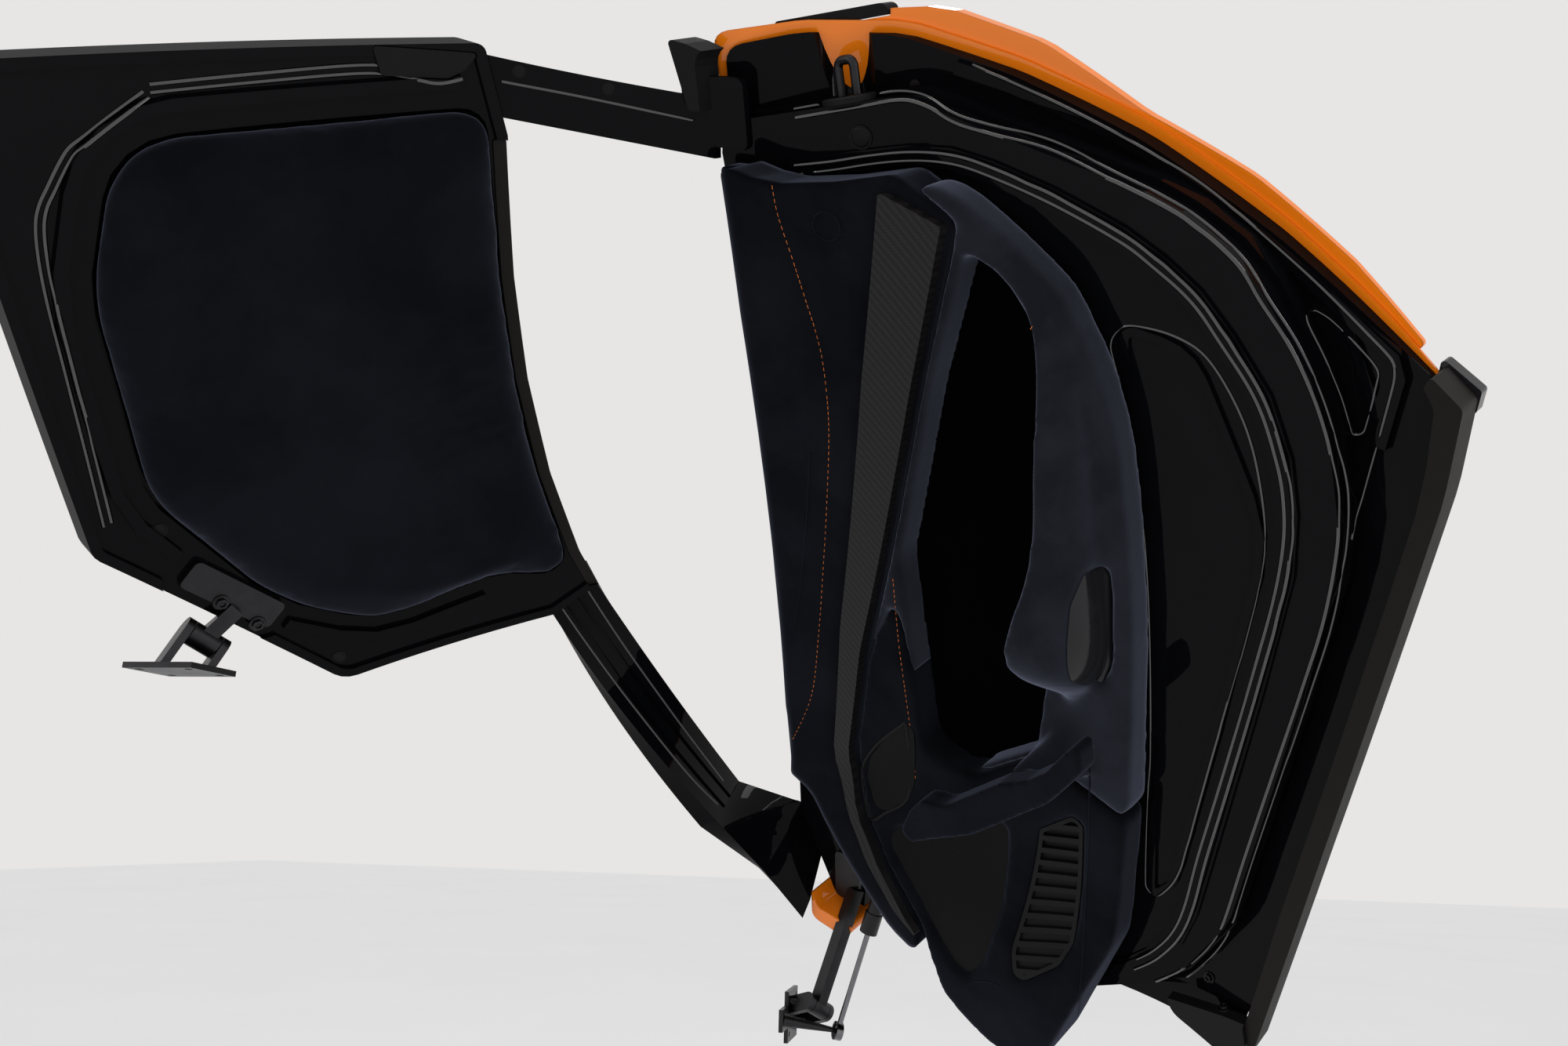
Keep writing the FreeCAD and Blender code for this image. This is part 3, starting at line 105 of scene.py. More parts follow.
class DoorStudio(bpy.types.PropertyGroup):
    camera_place: FloatVectorProperty(name="Camera", description="Where the camera stands", size=3,
                                      subtype="TRANSLATION", unit="LENGTH",
                                      default=(0.315, -1.81375, 0.26807))
    camera_yaw: angle_property("Camera heading", "Turn of the camera to the left", 10.73116)
    camera_pitch: angle_property("Camera pitch", "How far the camera looks up", 14.89006)
    camera_roll: angle_property("Camera roll", "Roll of the camera", 1.64212)
    lens: FloatProperty(name="Lens", description="Focal length in mm", default=26.278, min=10, max=200)
    floor_drop: length_property("Floor", "Floor below the part's origin", 0.706, 0.1, 3)
    backdrop: colour_property("Backdrop", "Colour of the floor and backdrop", (0.80, 0.79, 0.78))


PHOTO_SIZE = (2000.0, 1334.0)
SENSOR_MM = 36.0


def camera_matrix():
    studio = bpy.context.scene.door_studio
    heading = Matrix.Rotation(studio.camera_yaw, 4, "Z")
    tilt = Matrix.Rotation(math.pi / 2 + studio.camera_pitch, 4, "X")
    roll = Matrix.Rotation(studio.camera_roll, 4, "Z")
    return Matrix.Translation(studio.camera_place) @ heading @ tilt @ roll


def finishes():
    return bpy.context.scene.door_finishes


def trim():
    return bpy.context.scene.door_trim


# Shader building
def new_material(name):
    material = bpy.data.materials.new(name)
    material.use_nodes = True
    return material


def shader_of(material):
    return material.node_tree.nodes["Principled BSDF"]


def feed(tree, socket, value):
    """Links another node's output to a socket, or sets a plain value on it."""
    if isinstance(value, bpy.types.NodeSocket):
        tree.links.new(value, socket)
    else:
        socket.default_value = value


def math_node(tree, operation, first, second=None):
    node = tree.nodes.new("ShaderNodeMath")
    node.operation = operation
    feed(tree, node.inputs[0], first)
    if second is not None:
        feed(tree, node.inputs[1], second)
    return node.outputs[0]


def ramp(tree, factor, stops):
    """A ramp of greys; each stop is (position, grey)."""
    node = tree.nodes.new("ShaderNodeValToRGB")
    tree.links.new(factor, node.inputs["Fac"])
    elements = node.color_ramp.elements
    while len(elements) < len(stops):
        elements.new(0.5)
    for element, (position, grey) in zip(elements, stops):
        element.position = position
        element.color = (grey, grey, grey, 1.0)
    return node.outputs["Color"]


def mix_colour(tree, factor, first, second):
    node = tree.nodes.new("ShaderNodeMix")
    node.data_type = "RGBA"
    colours = [socket for socket in node.inputs if socket.type == "RGBA"]
    for socket, value in zip([node.inputs["Factor"]] + colours, (factor, first, second)):
        feed(tree, socket, value)
    return [socket for socket in node.outputs if socket.type == "RGBA"][0]


def noise(tree, vector, scale, detail=2.0, roughness=0.5, output="Fac"):
    node = tree.nodes.new("ShaderNodeTexNoise")
    for name, value in (("Vector", vector), ("Scale", scale), ("Detail", detail), ("Roughness", roughness)):
        feed(tree, node.inputs[name], value)
    return node.outputs[output]


def bump(tree, height, strength, distance, normal=None):
    node = tree.nodes.new("ShaderNodeBump")
    for name, value in (("Height", height), ("Strength", strength), ("Distance", distance)):
        feed(tree, node.inputs[name], value)
    if normal is not None:
        feed(tree, node.inputs["Normal"], normal)
    return node.outputs["Normal"]


def rounded_normal(tree, radius, samples):
    """The surface's normal with its edges rounded."""
    node = tree.nodes.new("ShaderNodeBevel")
    node.samples = samples
    feed(tree, node.inputs["Radius"], radius)
    return node.outputs["Normal"]


def new_group(name, inputs, outputs):
    """A shader node group; inputs are (name, type, default) and outputs are (name, type)."""
    group = bpy.data.node_groups.new(name, "ShaderNodeTree")
    for label, kind, default in inputs:
        socket = group.interface.new_socket(label, in_out="INPUT", socket_type="NodeSocket" + kind)
        if default is not None:
            socket.default_value = default
    for label, kind in outputs:
        group.interface.new_socket(label, in_out="OUTPUT", socket_type="NodeSocket" + kind)
    entry = group.nodes.new("NodeGroupInput")
    leave = group.nodes.new("NodeGroupOutput")
    return group, entry, leave


def give(group, leave, colour, roughness, normal):
    """Connects a group's usual three outputs."""
    for name, value in (("Color", colour), ("Roughness", roughness), ("Normal", normal)):
        group.links.new(value, leave.inputs[name])


def use_group(material, name, **values):
    """Places a node group in a material and sets its inputs."""
    tree = material.node_tree
    node = tree.nodes.new("ShaderNodeGroup")
    node.node_tree = bpy.data.node_groups[name]
    for key, value in values.items():
        feed(tree, node.inputs[key.replace("_", " ")], value)
    return node


def object_coordinates(material, turn=None):
    """Object coordinates, turned back to the closed door where turn is given."""
    tree = material.node_tree
    node = tree.nodes.new("ShaderNodeTexCoord")
    if turn is None:
        return node.outputs["Object"]
    mapping = tree.nodes.new("ShaderNodeMapping")
    mapping.inputs["Rotation"].default_value = turn
    tree.links.new(node.outputs["Object"], mapping.inputs["Vector"])
    return mapping.outputs["Vector"]


def closed_turn():
    return Matrix.Rotation(-OPEN_ANGLE, 3, HINGE_AXIS).to_euler("XYZ")


def rgba(colour):
    return tuple(colour) + (1.0,)


def make_lacquer_group():
    """Clear coat with a faint orange peel and a little settled dust."""
    group, entry, leave = new_group(
        "Lacquer Film",
        [("Vector", "Vector", None), ("Color", "Color", (0.5, 0.5, 0.5, 1)),
         ("Dust Color", "Color", (0.3, 0.3, 0.3, 1)), ("Peel", "Float", 0.03), ("Dust", "Float", 0.03),
         ("Base Roughness", "Float", 0.2), ("Edge Radius", "Float", 0.004)],
        [("Color", "Color"), ("Roughness", "Float"), ("Normal", "Vector")])
    vector = entry.outputs["Vector"]
    cloud = ramp(group, noise(group, vector, 14.0, 5.0, 0.6), [(0.42, 0.0), (0.72, 1.0)])
    specks = ramp(group, noise(group, vector, 900.0, 1.0), [(0.66, 0.0), (0.74, 1.0)])
    settled = math_node(group, "ADD", cloud, math_node(group, "MULTIPLY", specks, 0.8))
    share = math_node(group, "MULTIPLY", settled, entry.outputs["Dust"])
    colour = mix_colour(group, share, entry.outputs["Color"], entry.outputs["Dust Color"])
    rough = math_node(group, "ADD", entry.outputs["Base Roughness"], math_node(group, "MULTIPLY", share, 1.2))
    rounded = rounded_normal(group, entry.outputs["Edge Radius"], 6)
    peel = bump(group, noise(group, vector, 320.0, 1.5), entry.outputs["Peel"], 0.0006, rounded)
    give(group, leave, colour, rough, peel)


def make_nap_group():
    """Brushed nap: soft patches where the fibres lie the other way, and a fine fibre grain."""
    group, entry, leave = new_group(
        "Brushed Nap",
        [("Vector", "Vector", None), ("Color", "Color", (0.01, 0.01, 0.012, 1)),
         ("Brushed Color", "Color", (0.03, 0.03, 0.04, 1)), ("Patch Scale", "Float", 9.0),
         ("Patches", "Float", 0.7), ("Fibre Scale", "Float", 900.0), ("Fibre Height", "Float", 0.5),
         ("Edge Radius", "Float", 0.0)],
        [("Color", "Color"), ("Roughness", "Float"), ("Normal", "Vector")])
    vector = entry.outputs["Vector"]
    spread = group.nodes.new("ShaderNodeVectorMath")
    spread.operation = "MULTIPLY_ADD"
    spread.inputs[1].default_value = (0.10, 0.10, 0.10)
    group.links.new(noise(group, vector, 5.0, output="Color"), spread.inputs[0])
    group.links.new(vector, spread.inputs[2])
    large = noise(group, spread.outputs["Vector"], entry.outputs["Patch Scale"], 4.0, 0.62)
    patches = ramp(group, large, [(0.40, 0.0), (0.56, 0.55), (0.72, 1.0)])
    fibre = noise(group, vector, entry.outputs["Fibre Scale"], 3.0)
    mottle = noise(group, vector, 130.0, 3.0)
    share = math_node(group, "MULTIPLY", patches, entry.outputs["Patches"])
    share = math_node(group, "ADD", share, math_node(group, "MULTIPLY", mottle, 0.16))
    share = math_node(group, "ADD", share, math_node(group, "MULTIPLY", fibre, 0.22))
    share = math_node(group, "SUBTRACT", share, 0.14)
    colour = mix_colour(group, share, entry.outputs["Color"], entry.outputs["Brushed Color"])
    rough = math_node(group, "SUBTRACT", 0.96, math_node(group, "MULTIPLY", share, 0.12))
    height = math_node(group, "ADD", fibre, math_node(group, "MULTIPLY", mottle, 0.8))
    rolled = rounded_normal(group, entry.outputs["Edge Radius"], 8)
    give(group, leave, colour, rough, bump(group, height, entry.outputs["Fibre Height"], 0.0005, rolled))


def make_grain_group():
    """Moulded grain of plastics and rubber, with paler patches and uneven roughness at random."""
    group, entry, leave = new_group(
        "Moulded Grain",
        [("Vector", "Vector", None), ("Color", "Color", (0.02, 0.02, 0.02, 1)), ("Scale", "Float", 700.0),
         ("Depth", "Float", 0.25), ("Base Roughness", "Float", 0.5)],
        [("Color", "Color"), ("Roughness", "Float"), ("Normal", "Vector")])
    vector = entry.outputs["Vector"]
    cells = group.nodes.new("ShaderNodeTexVoronoi")
    cells.feature = "SMOOTH_F1"
    group.links.new(vector, cells.inputs["Vector"])
    group.links.new(entry.outputs["Scale"], cells.inputs["Scale"])
    wear = noise(group, vector, 22.0, 5.0, 0.65)
    pale = group.nodes.new("ShaderNodeVectorMath")
    pale.operation = "MULTIPLY"
    pale.inputs[1].default_value = (1.9, 1.9, 1.9)
    group.links.new(entry.outputs["Color"], pale.inputs[0])
    share = math_node(group, "MULTIPLY", ramp(group, wear, [(0.35, 0.0), (0.75, 1.0)]), 0.5)
    colour = mix_colour(group, share, entry.outputs["Color"], pale.outputs["Vector"])
    uneven = math_node(group, "MULTIPLY", math_node(group, "SUBTRACT", wear, 0.5), 0.22)
    rough = math_node(group, "ADD", entry.outputs["Base Roughness"], uneven)
    give(group, leave, colour, rough, bump(group, cells.outputs["Distance"], entry.outputs["Depth"], 0.0006))


def make_perforation_group():
    """Round holes in staggered rows across the closed door's Y and Z."""
    group, entry, leave = new_group(
        "Perforation",
        [("Vector", "Vector", None), ("Pitch", "Float", 0.004), ("Hole Share", "Float", 0.26)],
        [("Hole", "Float"), ("Normal", "Vector")])
    split = group.nodes.new("ShaderNodeSeparateXYZ")
    group.links.new(entry.outputs["Vector"], split.inputs[0])
    along = math_node(group, "DIVIDE", split.outputs["Y"], entry.outputs["Pitch"])
    up = math_node(group, "DIVIDE", split.outputs["Z"], entry.outputs["Pitch"])
    holes = []
    for shift in (0.0, 0.5):
        squares = []
        for way in (along, up):
            cell = math_node(group, "FRACT", math_node(group, "ADD", way, shift))
            offset = math_node(group, "SUBTRACT", cell, 0.5)
            squares.append(math_node(group, "MULTIPLY", offset, offset))
        reach = math_node(group, "SQRT", math_node(group, "ADD", squares[0], squares[1]))
        holes.append(math_node(group, "LESS_THAN", reach, entry.outputs["Hole Share"]))
    hole = math_node(group, "MAXIMUM", holes[0], holes[1])
    group.links.new(hole, leave.inputs["Hole"])
    depth = math_node(group, "SUBTRACT", 1.0, hole)
    group.links.new(bump(group, depth, 0.6, 0.0008), leave.inputs["Normal"])


def make_weave_group():
    """Fine diagonal twill across the closed door's Y and Z."""
    group, entry, leave = new_group(
        "Diagonal Twill",
        [("Vector", "Vector", None), ("Color", "Color", (0.05, 0.05, 0.05, 1)),
         ("Dark Color", "Color", (0.02, 0.02, 0.02, 1)), ("Pitch", "Float", 0.0022)],
        [("Color", "Color"), ("Roughness", "Float"), ("Normal", "Vector")])
    split = group.nodes.new("ShaderNodeSeparateXYZ")
    group.links.new(entry.outputs["Vector"], split.inputs[0])
    along = math_node(group, "DIVIDE", split.outputs["Y"], entry.outputs["Pitch"])
    up = math_node(group, "DIVIDE", split.outputs["Z"], entry.outputs["Pitch"])
    steps = math_node(group, "ADD", math_node(group, "FLOOR", along), math_node(group, "FLOOR", up))
    diagonal = math_node(group, "FRACT", math_node(group, "MULTIPLY", steps, 0.25))
    twill = math_node(group, "LESS_THAN", diagonal, 0.5)
    plain = math_node(group, "SUBTRACT", 1.0, twill)
    crowns = []
    for way, share in ((along, twill), (up, plain)):
        offset = math_node(group, "SUBTRACT", math_node(group, "FRACT", way), 0.5)
        crowns.append(math_node(group, "MULTIPLY", math_node(group, "ABSOLUTE", offset), share))
    colour = mix_colour(group, twill, entry.outputs["Color"], entry.outputs["Dark Color"])
    rough = math_node(group, "ADD", 0.30, math_node(group, "MULTIPLY", twill, 0.16))
    height = math_node(group, "SUBTRACT", 1.0, math_node(group, "ADD", crowns[0], crowns[1]))
    give(group, leave, colour, rough, bump(group, height, 0.35, 0.0004))


def link_surface(material, node):
    """Connects a group's usual three outputs to the material's shader."""
    shader = shader_of(material)
    for name, socket in (("Color", "Base Color"), ("Roughness", "Roughness"), ("Normal", "Normal")):
        material.node_tree.links.new(node.outputs[name], shader.inputs[socket])


def set_shader(material, **values):
    """Sets plain values on the material's shader; an underscore stands for a space."""
    shader = shader_of(material)
    for key, value in values.items():
        shader.inputs[key.replace("_", " ")].default_value = value


def make_lacquer(name, colour, dust_colour, dust, roughness, coat):
    material = new_material(name)
    film = use_group(material, "Lacquer Film", Vector=object_coordinates(material), Color=rgba(colour),
                     Dust_Color=rgba(dust_colour), Peel=0.02, Dust=dust, Base_Roughness=roughness)
    link_surface(material, film)
    set_shader(material, Specular_IOR_Level=0.0, Coat_Weight=coat, Coat_Roughness=0.025)
    return material


def make_suede(name, colour, brushed, patch_scale, patches, sheen, edge=0.0):
    material = new_material(name)
    nap = use_group(material, "Brushed Nap", Vector=object_coordinates(material), Color=rgba(colour),
                    Brushed_Color=rgba(brushed), Patch_Scale=patch_scale, Patches=patches, Fibre_Scale=850.0,
                    Fibre_Height=0.5, Edge_Radius=edge)
    link_surface(material, nap)
    set_shader(material, Sheen_Weight=sheen, Sheen_Roughness=0.42, Sheen_Tint=(0.66, 0.73, 1.0, 1.0),
               Specular_IOR_Level=0.0)


def make_moulded(name, colour, scale, depth, roughness, gloss, metallic=0.0):
    material = new_material(name)
    grain = use_group(material, "Moulded Grain", Vector=object_coordinates(material), Color=rgba(colour),
                      Scale=scale, Depth=depth, Base_Roughness=roughness)
    link_surface(material, grain)
    set_shader(material, Metallic=metallic, Specular_IOR_Level=gloss)


def make_perforated(name, colour, pitch, share):
    material = new_material(name)
    tree = material.node_tree
    grain = use_group(material, "Moulded Grain", Vector=object_coordinates(material), Color=rgba(colour),
                      Scale=900.0, Depth=0.2, Base_Roughness=0.55)
    flat = object_coordinates(material, closed_turn())
    holes = use_group(material, "Perforation", Vector=flat, Pitch=pitch, Hole_Share=share)
    # The holes are painted near black: painted shade inside the holes
    pierced = mix_colour(tree, holes.outputs["Hole"], grain.outputs["Color"], (0.0008, 0.0008, 0.0008, 1.0))
    shader = shader_of(material)
    tree.links.new(pierced, shader.inputs["Base Color"])
    tree.links.new(grain.outputs["Roughness"], shader.inputs["Roughness"])
    tree.links.new(holes.outputs["Normal"], shader.inputs["Normal"])
    set_shader(material, Specular_IOR_Level=0.10)


def make_woven(name, colour):
    material = new_material(name)
    flat = object_coordinates(material, closed_turn())
    dark = tuple(part * 0.45 for part in colour)
    weave = use_group(material, "Diagonal Twill", Vector=flat, Color=rgba(colour), Dark_Color=rgba(dark),
                      Pitch=0.0024)
    link_surface(material, weave)
    set_shader(material, Specular_IOR_Level=0.15, Coat_Weight=0.15, Coat_Roughness=0.30)


def make_lens(name):
    material = new_material(name)
    grain = use_group(material, "Moulded Grain", Vector=object_coordinates(material),
                      Color=(0.012, 0.012, 0.014, 1.0), Scale=240.0, Depth=0.05, Base_Roughness=0.12)
    link_surface(material, grain)
    set_shader(material, Transmission_Weight=0.10, Specular_IOR_Level=0.20, IOR=1.49)


def make_materials():
    make_lacquer_group()
    make_nap_group()
    make_grain_group()
    make_perforation_group()
    make_weave_group()
    tones = finishes()
    suede, brushed = tones.suede, tones.lit_suede_brushed
    make_lacquer("Orange lacquer", tones.orange, (0.95, 0.42, 0.12), 0.02, 0.30, 1.0)
    make_lacquer("Black lacquer", tones.black, (0.02, 0.02, 0.022), 0.03, 0.35, 0.16)
    beads = make_lacquer("Polished bead", tones.black, (0.02, 0.02, 0.022), 0.03, 0.35, 1.0)
    set_shader(beads, Coat_IOR=1.9, Coat_Roughness=0.10)
    dark = tuple(part * 0.4 for part in suede)
    make_suede("Suede", dark, suede, 8.0, 0.75, 0.16)
    make_suede("Panel suede", dark, suede, 8.0, 0.75, 0.22, 0.012)
    make_suede("Headliner suede", dark, suede, 5.0, 0.8, 0.32)
    # The armrest is a lit copy of the suede: its base and brushed colours are a step lighter than the other
    # suede pieces, painted light standing in for light falling on its top and rim
    make_suede("Lit armrest suede", suede, brushed, 7.0, 0.85, 0.5)
    # The pocket lining is a dark flock of its own, made darker still as painted shade of the deep pocket
    make_suede("Flocked lining", (0.0009, 0.0009, 0.0012), (0.002, 0.002, 0.0026), 6.0, 0.5, 0.01)
    make_moulded("Matte plastic", tones.plastic, 800.0, 0.22, 0.52, 0.12)
    make_moulded("Seal rubber", tones.rubber, 420.0, 0.30, 0.62, 0.15)
    make_moulded("Dark steel", (0.030, 0.030, 0.032), 300.0, 0.10, 0.40, 0.5, 1.0)
    make_moulded("Strut black", (0.006, 0.006, 0.007), 500.0, 0.05, 0.28, 0.3)
    make_moulded("Polished rod", (0.16, 0.16, 0.17), 120.0, 0.02, 0.16, 0.5, 1.0)
    make_moulded("Thread", tones.thread, 2600.0, 0.5, 0.62, 0.3)
    make_perforated("Perforated trim", (0.0035, 0.0035, 0.0040), 0.0042, 0.24)
    make_woven("Woven decor", tones.strip)
    make_lens("Smoky lens")


NODE_MATERIALS = {
    "black_lacquer": "Black lacquer", "orange_lacquer": "Orange lacquer", "satin_black": "Matte plastic",
    "smoky_lens": "Smoky lens", "seal_rubber": "Seal rubber", "suede": "Suede",
    "pocket_fabric": "Flocked lining", "woven_trim": "Woven decor", "perforated_trim": "Perforated trim",
    "dark_steel": "Dark steel", "strut_black": "Strut black", "strut_rod": "Polished rod"}


def dress(piece, material):
    piece.data.materials.clear()
    piece.data.materials.append(bpy.data.materials[material])


# Two corners of a CAD mesh nearer than this are one
WELD = 0.00002

# Photograph pixels from one place looked up on a surface to the next
PIXEL_STEP = 1.5

# A place is left out when it is this many pitches or more from the last one
LONGEST_STEP = 8

# Steps of the smooth line between two given corners
SPLINE_STEPS = 24

# How far a cord's centre lies under the surface, in radii, and how far a fitting is let in, in metres
CORD_SUNK = 0.25
FITTING_SUNK = 0.0004


def deselect():
    for thing in bpy.context.selected_objects:
        thing.select_set(False)


def make_active(piece):
    deselect()
    piece.select_set(True)
    bpy.context.view_layer.objects.active = piece


def apply_modifiers(piece):
    make_active(piece)
    for modifier in list(piece.modifiers):
        bpy.ops.object.modifier_apply(modifier=modifier.name)


def copy_of(node, name):
    """A welded copy of a CAD node's mesh as a new piece."""
    source = frame["nodes"][node]
    piece = bpy.data.objects.new(name, source.data.copy())
    bpy.context.scene.collection.objects.link(piece)
    piece.matrix_world = Matrix.Identity(4)
    make_active(piece)
    bpy.ops.object.mode_set(mode="EDIT")
    bpy.ops.mesh.select_all(action="SELECT")
    bpy.ops.mesh.remove_doubles(threshold=WELD)
    bpy.ops.object.mode_set(mode="OBJECT")
    return piece


def remeshed(node, name, voxel):
    piece = copy_of(node, name)
    remesh = piece.modifiers.new("Remesh", "REMESH")
    remesh.mode = "VOXEL"
    remesh.voxel_size = voxel
    apply_modifiers(piece)
    return piece


def smooth_mesh(piece, factor, rounds):
    smooth = piece.modifiers.new("Smooth", "SMOOTH")
    smooth.factor = factor
    smooth.iterations = rounds
    apply_modifiers(piece)


def swell(piece, pressure, cap, frames):
    """Foam under its cover: the piece swells a little as cloth, and no point moves further than the cap."""
    before = [vertex.co.copy() for vertex in piece.data.vertices]
    cloth = piece.modifiers.new("Foam", "CLOTH")
    settings = cloth.settings
    settings.quality = 4
    settings.mass = 0.3
    settings.tension_stiffness = 25
    settings.compression_stiffness = 25
    settings.shear_stiffness = 10
    settings.bending_stiffness = 4
    settings.use_pressure = True
    settings.uniform_pressure_force = pressure
    settings.effector_weights.gravity = 0
    cloth.collision_settings.use_collision = False
    scene = bpy.context.scene
    for step in range(1, frames + 1):
        scene.frame_set(step)
    apply_modifiers(piece)
    scene.frame_set(1)
    for vertex, start in zip(piece.data.vertices, before):
        shift = vertex.co - start
        if shift.length > cap:
            vertex.co = start + shift * (cap / shift.length)


def shade_smooth(piece, angle=None):
    make_active(piece)
    if angle is None:
        bpy.ops.object.shade_smooth()
    else:
        bpy.ops.object.shade_smooth_by_angle(angle=math.radians(angle))


def finish_piece(piece, material):
    dress(piece, material)
    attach(piece, "door")


def soft_piece(node, name, material, voxel, rounds, cap=0.0, pressure=0.0):
    """A padded piece in place of its CAD solid."""
    piece = remeshed(node, name, voxel)
    smooth_mesh(piece, 0.5, rounds)
    if cap > 0:
        swell(piece, pressure, cap, trim().cloth_frames)
        smooth_mesh(piece, 0.4, 2)
    shade_smooth(piece)
    finish_piece(piece, material)
    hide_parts(node)


def tree_of(pieces):
    """A search tree over the meshes of several pieces."""
    points = []
    faces = []
    for piece in pieces:
        start = len(points)
        points.extend(piece.matrix_world @ vertex.co for vertex in piece.data.vertices)
        faces.extend(tuple(index + start for index in face.vertices) for face in piece.data.polygons)
    return BVHTree.FromPolygons(points, faces)


def seen_at(surface, pixel):
    """The place on a surface that the camera sees at a pixel of the photograph, and the normal there."""
    studio = bpy.context.scene.door_studio
    eye = camera_matrix()
    focal = studio.lens / SENSOR_MM * PHOTO_SIZE[0]
    ray = Vector((pixel[0] - PHOTO_SIZE[0] / 2, PHOTO_SIZE[1] / 2 - pixel[1], -focal)).normalized()
    way = (eye.to_3x3() @ ray).normalized()
    place, normal = surface.ray_cast(eye.translation, way)[:2]
    if place is None:
        return None
    return place, (normal if normal.dot(way) < 0 else -normal)


def laid_on(surface, corners, pitch):
    """Places at an even pitch in metres along a line of the photograph, with normals; gaps are left out."""
    laid = []
    for pixel in even_points(corners, PIXEL_STEP):
        found = seen_at(surface, pixel)
        if found is None:
            continue
        step = (found[0] - laid[-1][0]).length if laid else pitch
        if pitch <= step < LONGEST_STEP * pitch:
            laid.append(found)
    return laid


def even_points(corners, pitch):
    """Points at an even pitch along a smooth line through the corners, in pixels."""
    dense = []
    count = len(corners)
    for index in range(count - 1):
        before = Vector(corners[max(index - 1, 0)])
        first = Vector(corners[index])
        second = Vector(corners[index + 1])
        after = Vector(corners[min(index + 2, count - 1)])
        for step in range(SPLINE_STEPS):
            t = step / SPLINE_STEPS
            dense.append(0.5 * (2 * first + (second - before) * t
                                + (2 * before - 5 * first + 4 * second - after) * t * t
                                + (3 * first - before - 3 * second + after) * t ** 3))
    dense.append(Vector(corners[-1]))
    points = [dense[0]]
    walked = 0.0
    for index in range(1, len(dense)):
        walked += (dense[index] - dense[index - 1]).length
        if walked >= pitch:
            points.append(dense[index])
            walked = 0.0
    return [(point.x, point.y) for point in points]


def beside(corners, shift):
    """The same line moved sideways by some pixels."""
    moved = []
    for index, corner in enumerate(corners):
        along = Vector(corners[min(index + 1, len(corners) - 1)]) - Vector(corners[max(index - 1, 0)])
        side = Vector((along.y, -along.x)).normalized() * shift
        moved.append((corner[0] + side.x, corner[1] + side.y))
    return moved


def basis(along, up):
    """Axes of a small fitting: its X along, its Z up."""
    along = along.normalized()
    side = up.cross(along).normalized()
    up = along.cross(side).normalized()
    return Matrix((along, side, up)).transposed().to_4x4()


# Places in the photograph, 2000 by 1334 pixels, of what lies on the door's visible side
MAIN_STITCH = [(985, 239), (992, 274), (1010, 328), (1028, 384), (1040, 422), (1050, 466), (1057, 541),
               (1055, 633), (1050, 725), (1044, 811), (1035, 887), (1009, 948)]
FRONT_STITCH = [(1139, 740), (1146, 817), (1154, 878), (1165, 960), (1168, 1000)]
ARMREST_STITCH = [(1314, 420), (1322, 410)]
PANEL_SEAM = [(1033, 578), (1030, 651), (1022, 743), (1016, 786), (1006, 807)]
ARMREST_SEAM = [(1389, 945), (1390, 1040), (1386, 1140), (1381, 1230), (1375, 1296)]
CAP_SEAM = [(1234, 1264), (1239, 1253), (1262, 1252), (1280, 1260)]
TWEETER_RIM = [(1156, 920), (1122, 946), (1102, 972), (1100, 992), (1106, 1030), (1113, 1046), (1130, 1036),
               (1150, 1026), (1160, 1009), (1160, 963)]
MAIN_RIB = [(1014, 217), (1062, 212), (1113, 204), (1164, 200), (1215, 204), (1264, 220), (1343, 255),
            (1430, 303), (1471, 334), (1522, 380), (1559, 432), (1607, 509), (1633, 587), (1642, 639),
            (1642, 694), (1629, 768), (1600, 872), (1563, 997), (1533, 1094), (1516, 1157), (1499, 1193),
            (1472, 1218), (1444, 1231)]
FLANGE_RIB = [(1014, 145), (1094, 131), (1148, 122), (1183, 129), (1215, 150), (1255, 163), (1340, 185),
              (1423, 226), (1481, 255), (1528, 284), (1583, 334), (1611, 380), (1652, 443), (1685, 517),
              (1709, 602), (1714, 646), (1709, 713), (1692, 798), (1666, 879), (1627, 994), (1593, 1094),
              (1566, 1177), (1549, 1207), (1527, 1229), (1505, 1244), (1474, 1257)]
CHEVRON_LINE = [(1241, 83), (1359, 137), (1455, 188), (1535, 236), (1614, 303), (1684, 366), (1754, 436),
                (1778, 462), (1780, 478), (1763, 543), (1738, 632), (1722, 694)]
TEARDROP_LINE = [(1430, 417), (1415, 435), (1422, 469), (1437, 535), (1452, 632), (1461, 713), (1466, 824),
                 (1467, 960), (1464, 1011), (1461, 1127), (1469, 1141), (1483, 1139), (1505, 1110),
                 (1527, 1033), (1549, 955), (1592, 805), (1613, 706), (1607, 617), (1585, 535), (1541, 458),
                 (1496, 428), (1448, 416), (1430, 417)]
TRIANGLE_LINE = [(1674, 395), (1666, 406), (1689, 454), (1711, 506), (1726, 554), (1737, 556), (1748, 521),
                 (1757, 484), (1753, 465), (1700, 410), (1674, 395)]
ROOF_REAR_RIB = [(191, 113), (330, 99), (467, 88), (530, 96), (561, 102), (590, 95)]
ROOF_SIDE_RIB = [(186, 121), (140, 155), (102, 185), (89, 195), (66, 240), (51, 281), (60, 360), (90, 480),
                 (118, 590), (140, 680)]
REAR_BAR_LINE = [(640, 104), (740, 123), (830, 142), (892, 155)]
PILLAR_LINES = [[(708, 762), (748, 820), (804, 896), (878, 988), (930, 1040)],
                [(748, 750), (795, 822), (862, 916), (925, 1000)]]
CARD_CAP = (1055, 288)
BAR_PLUGS = [(662, 91), (776, 113), (883, 135)]
ARM_BOLTS = [(282, 768), (328, 795)]
ROOF_PLUGS = [(203, 677), (432, 838)]
LATCH_PLUG = (1098, 175)
LATCH_HOLE = (1167, 108)
GUIDE_BOLTS = [(1543, 1246), (1562, 1286)]

# Half the gap between twin beads, in pixels, and the beads' radius and pitch of places in metres
TWIN_HALF = 5.5
TWIN_RADIUS = 0.0021
BEAD_PITCH = 0.012

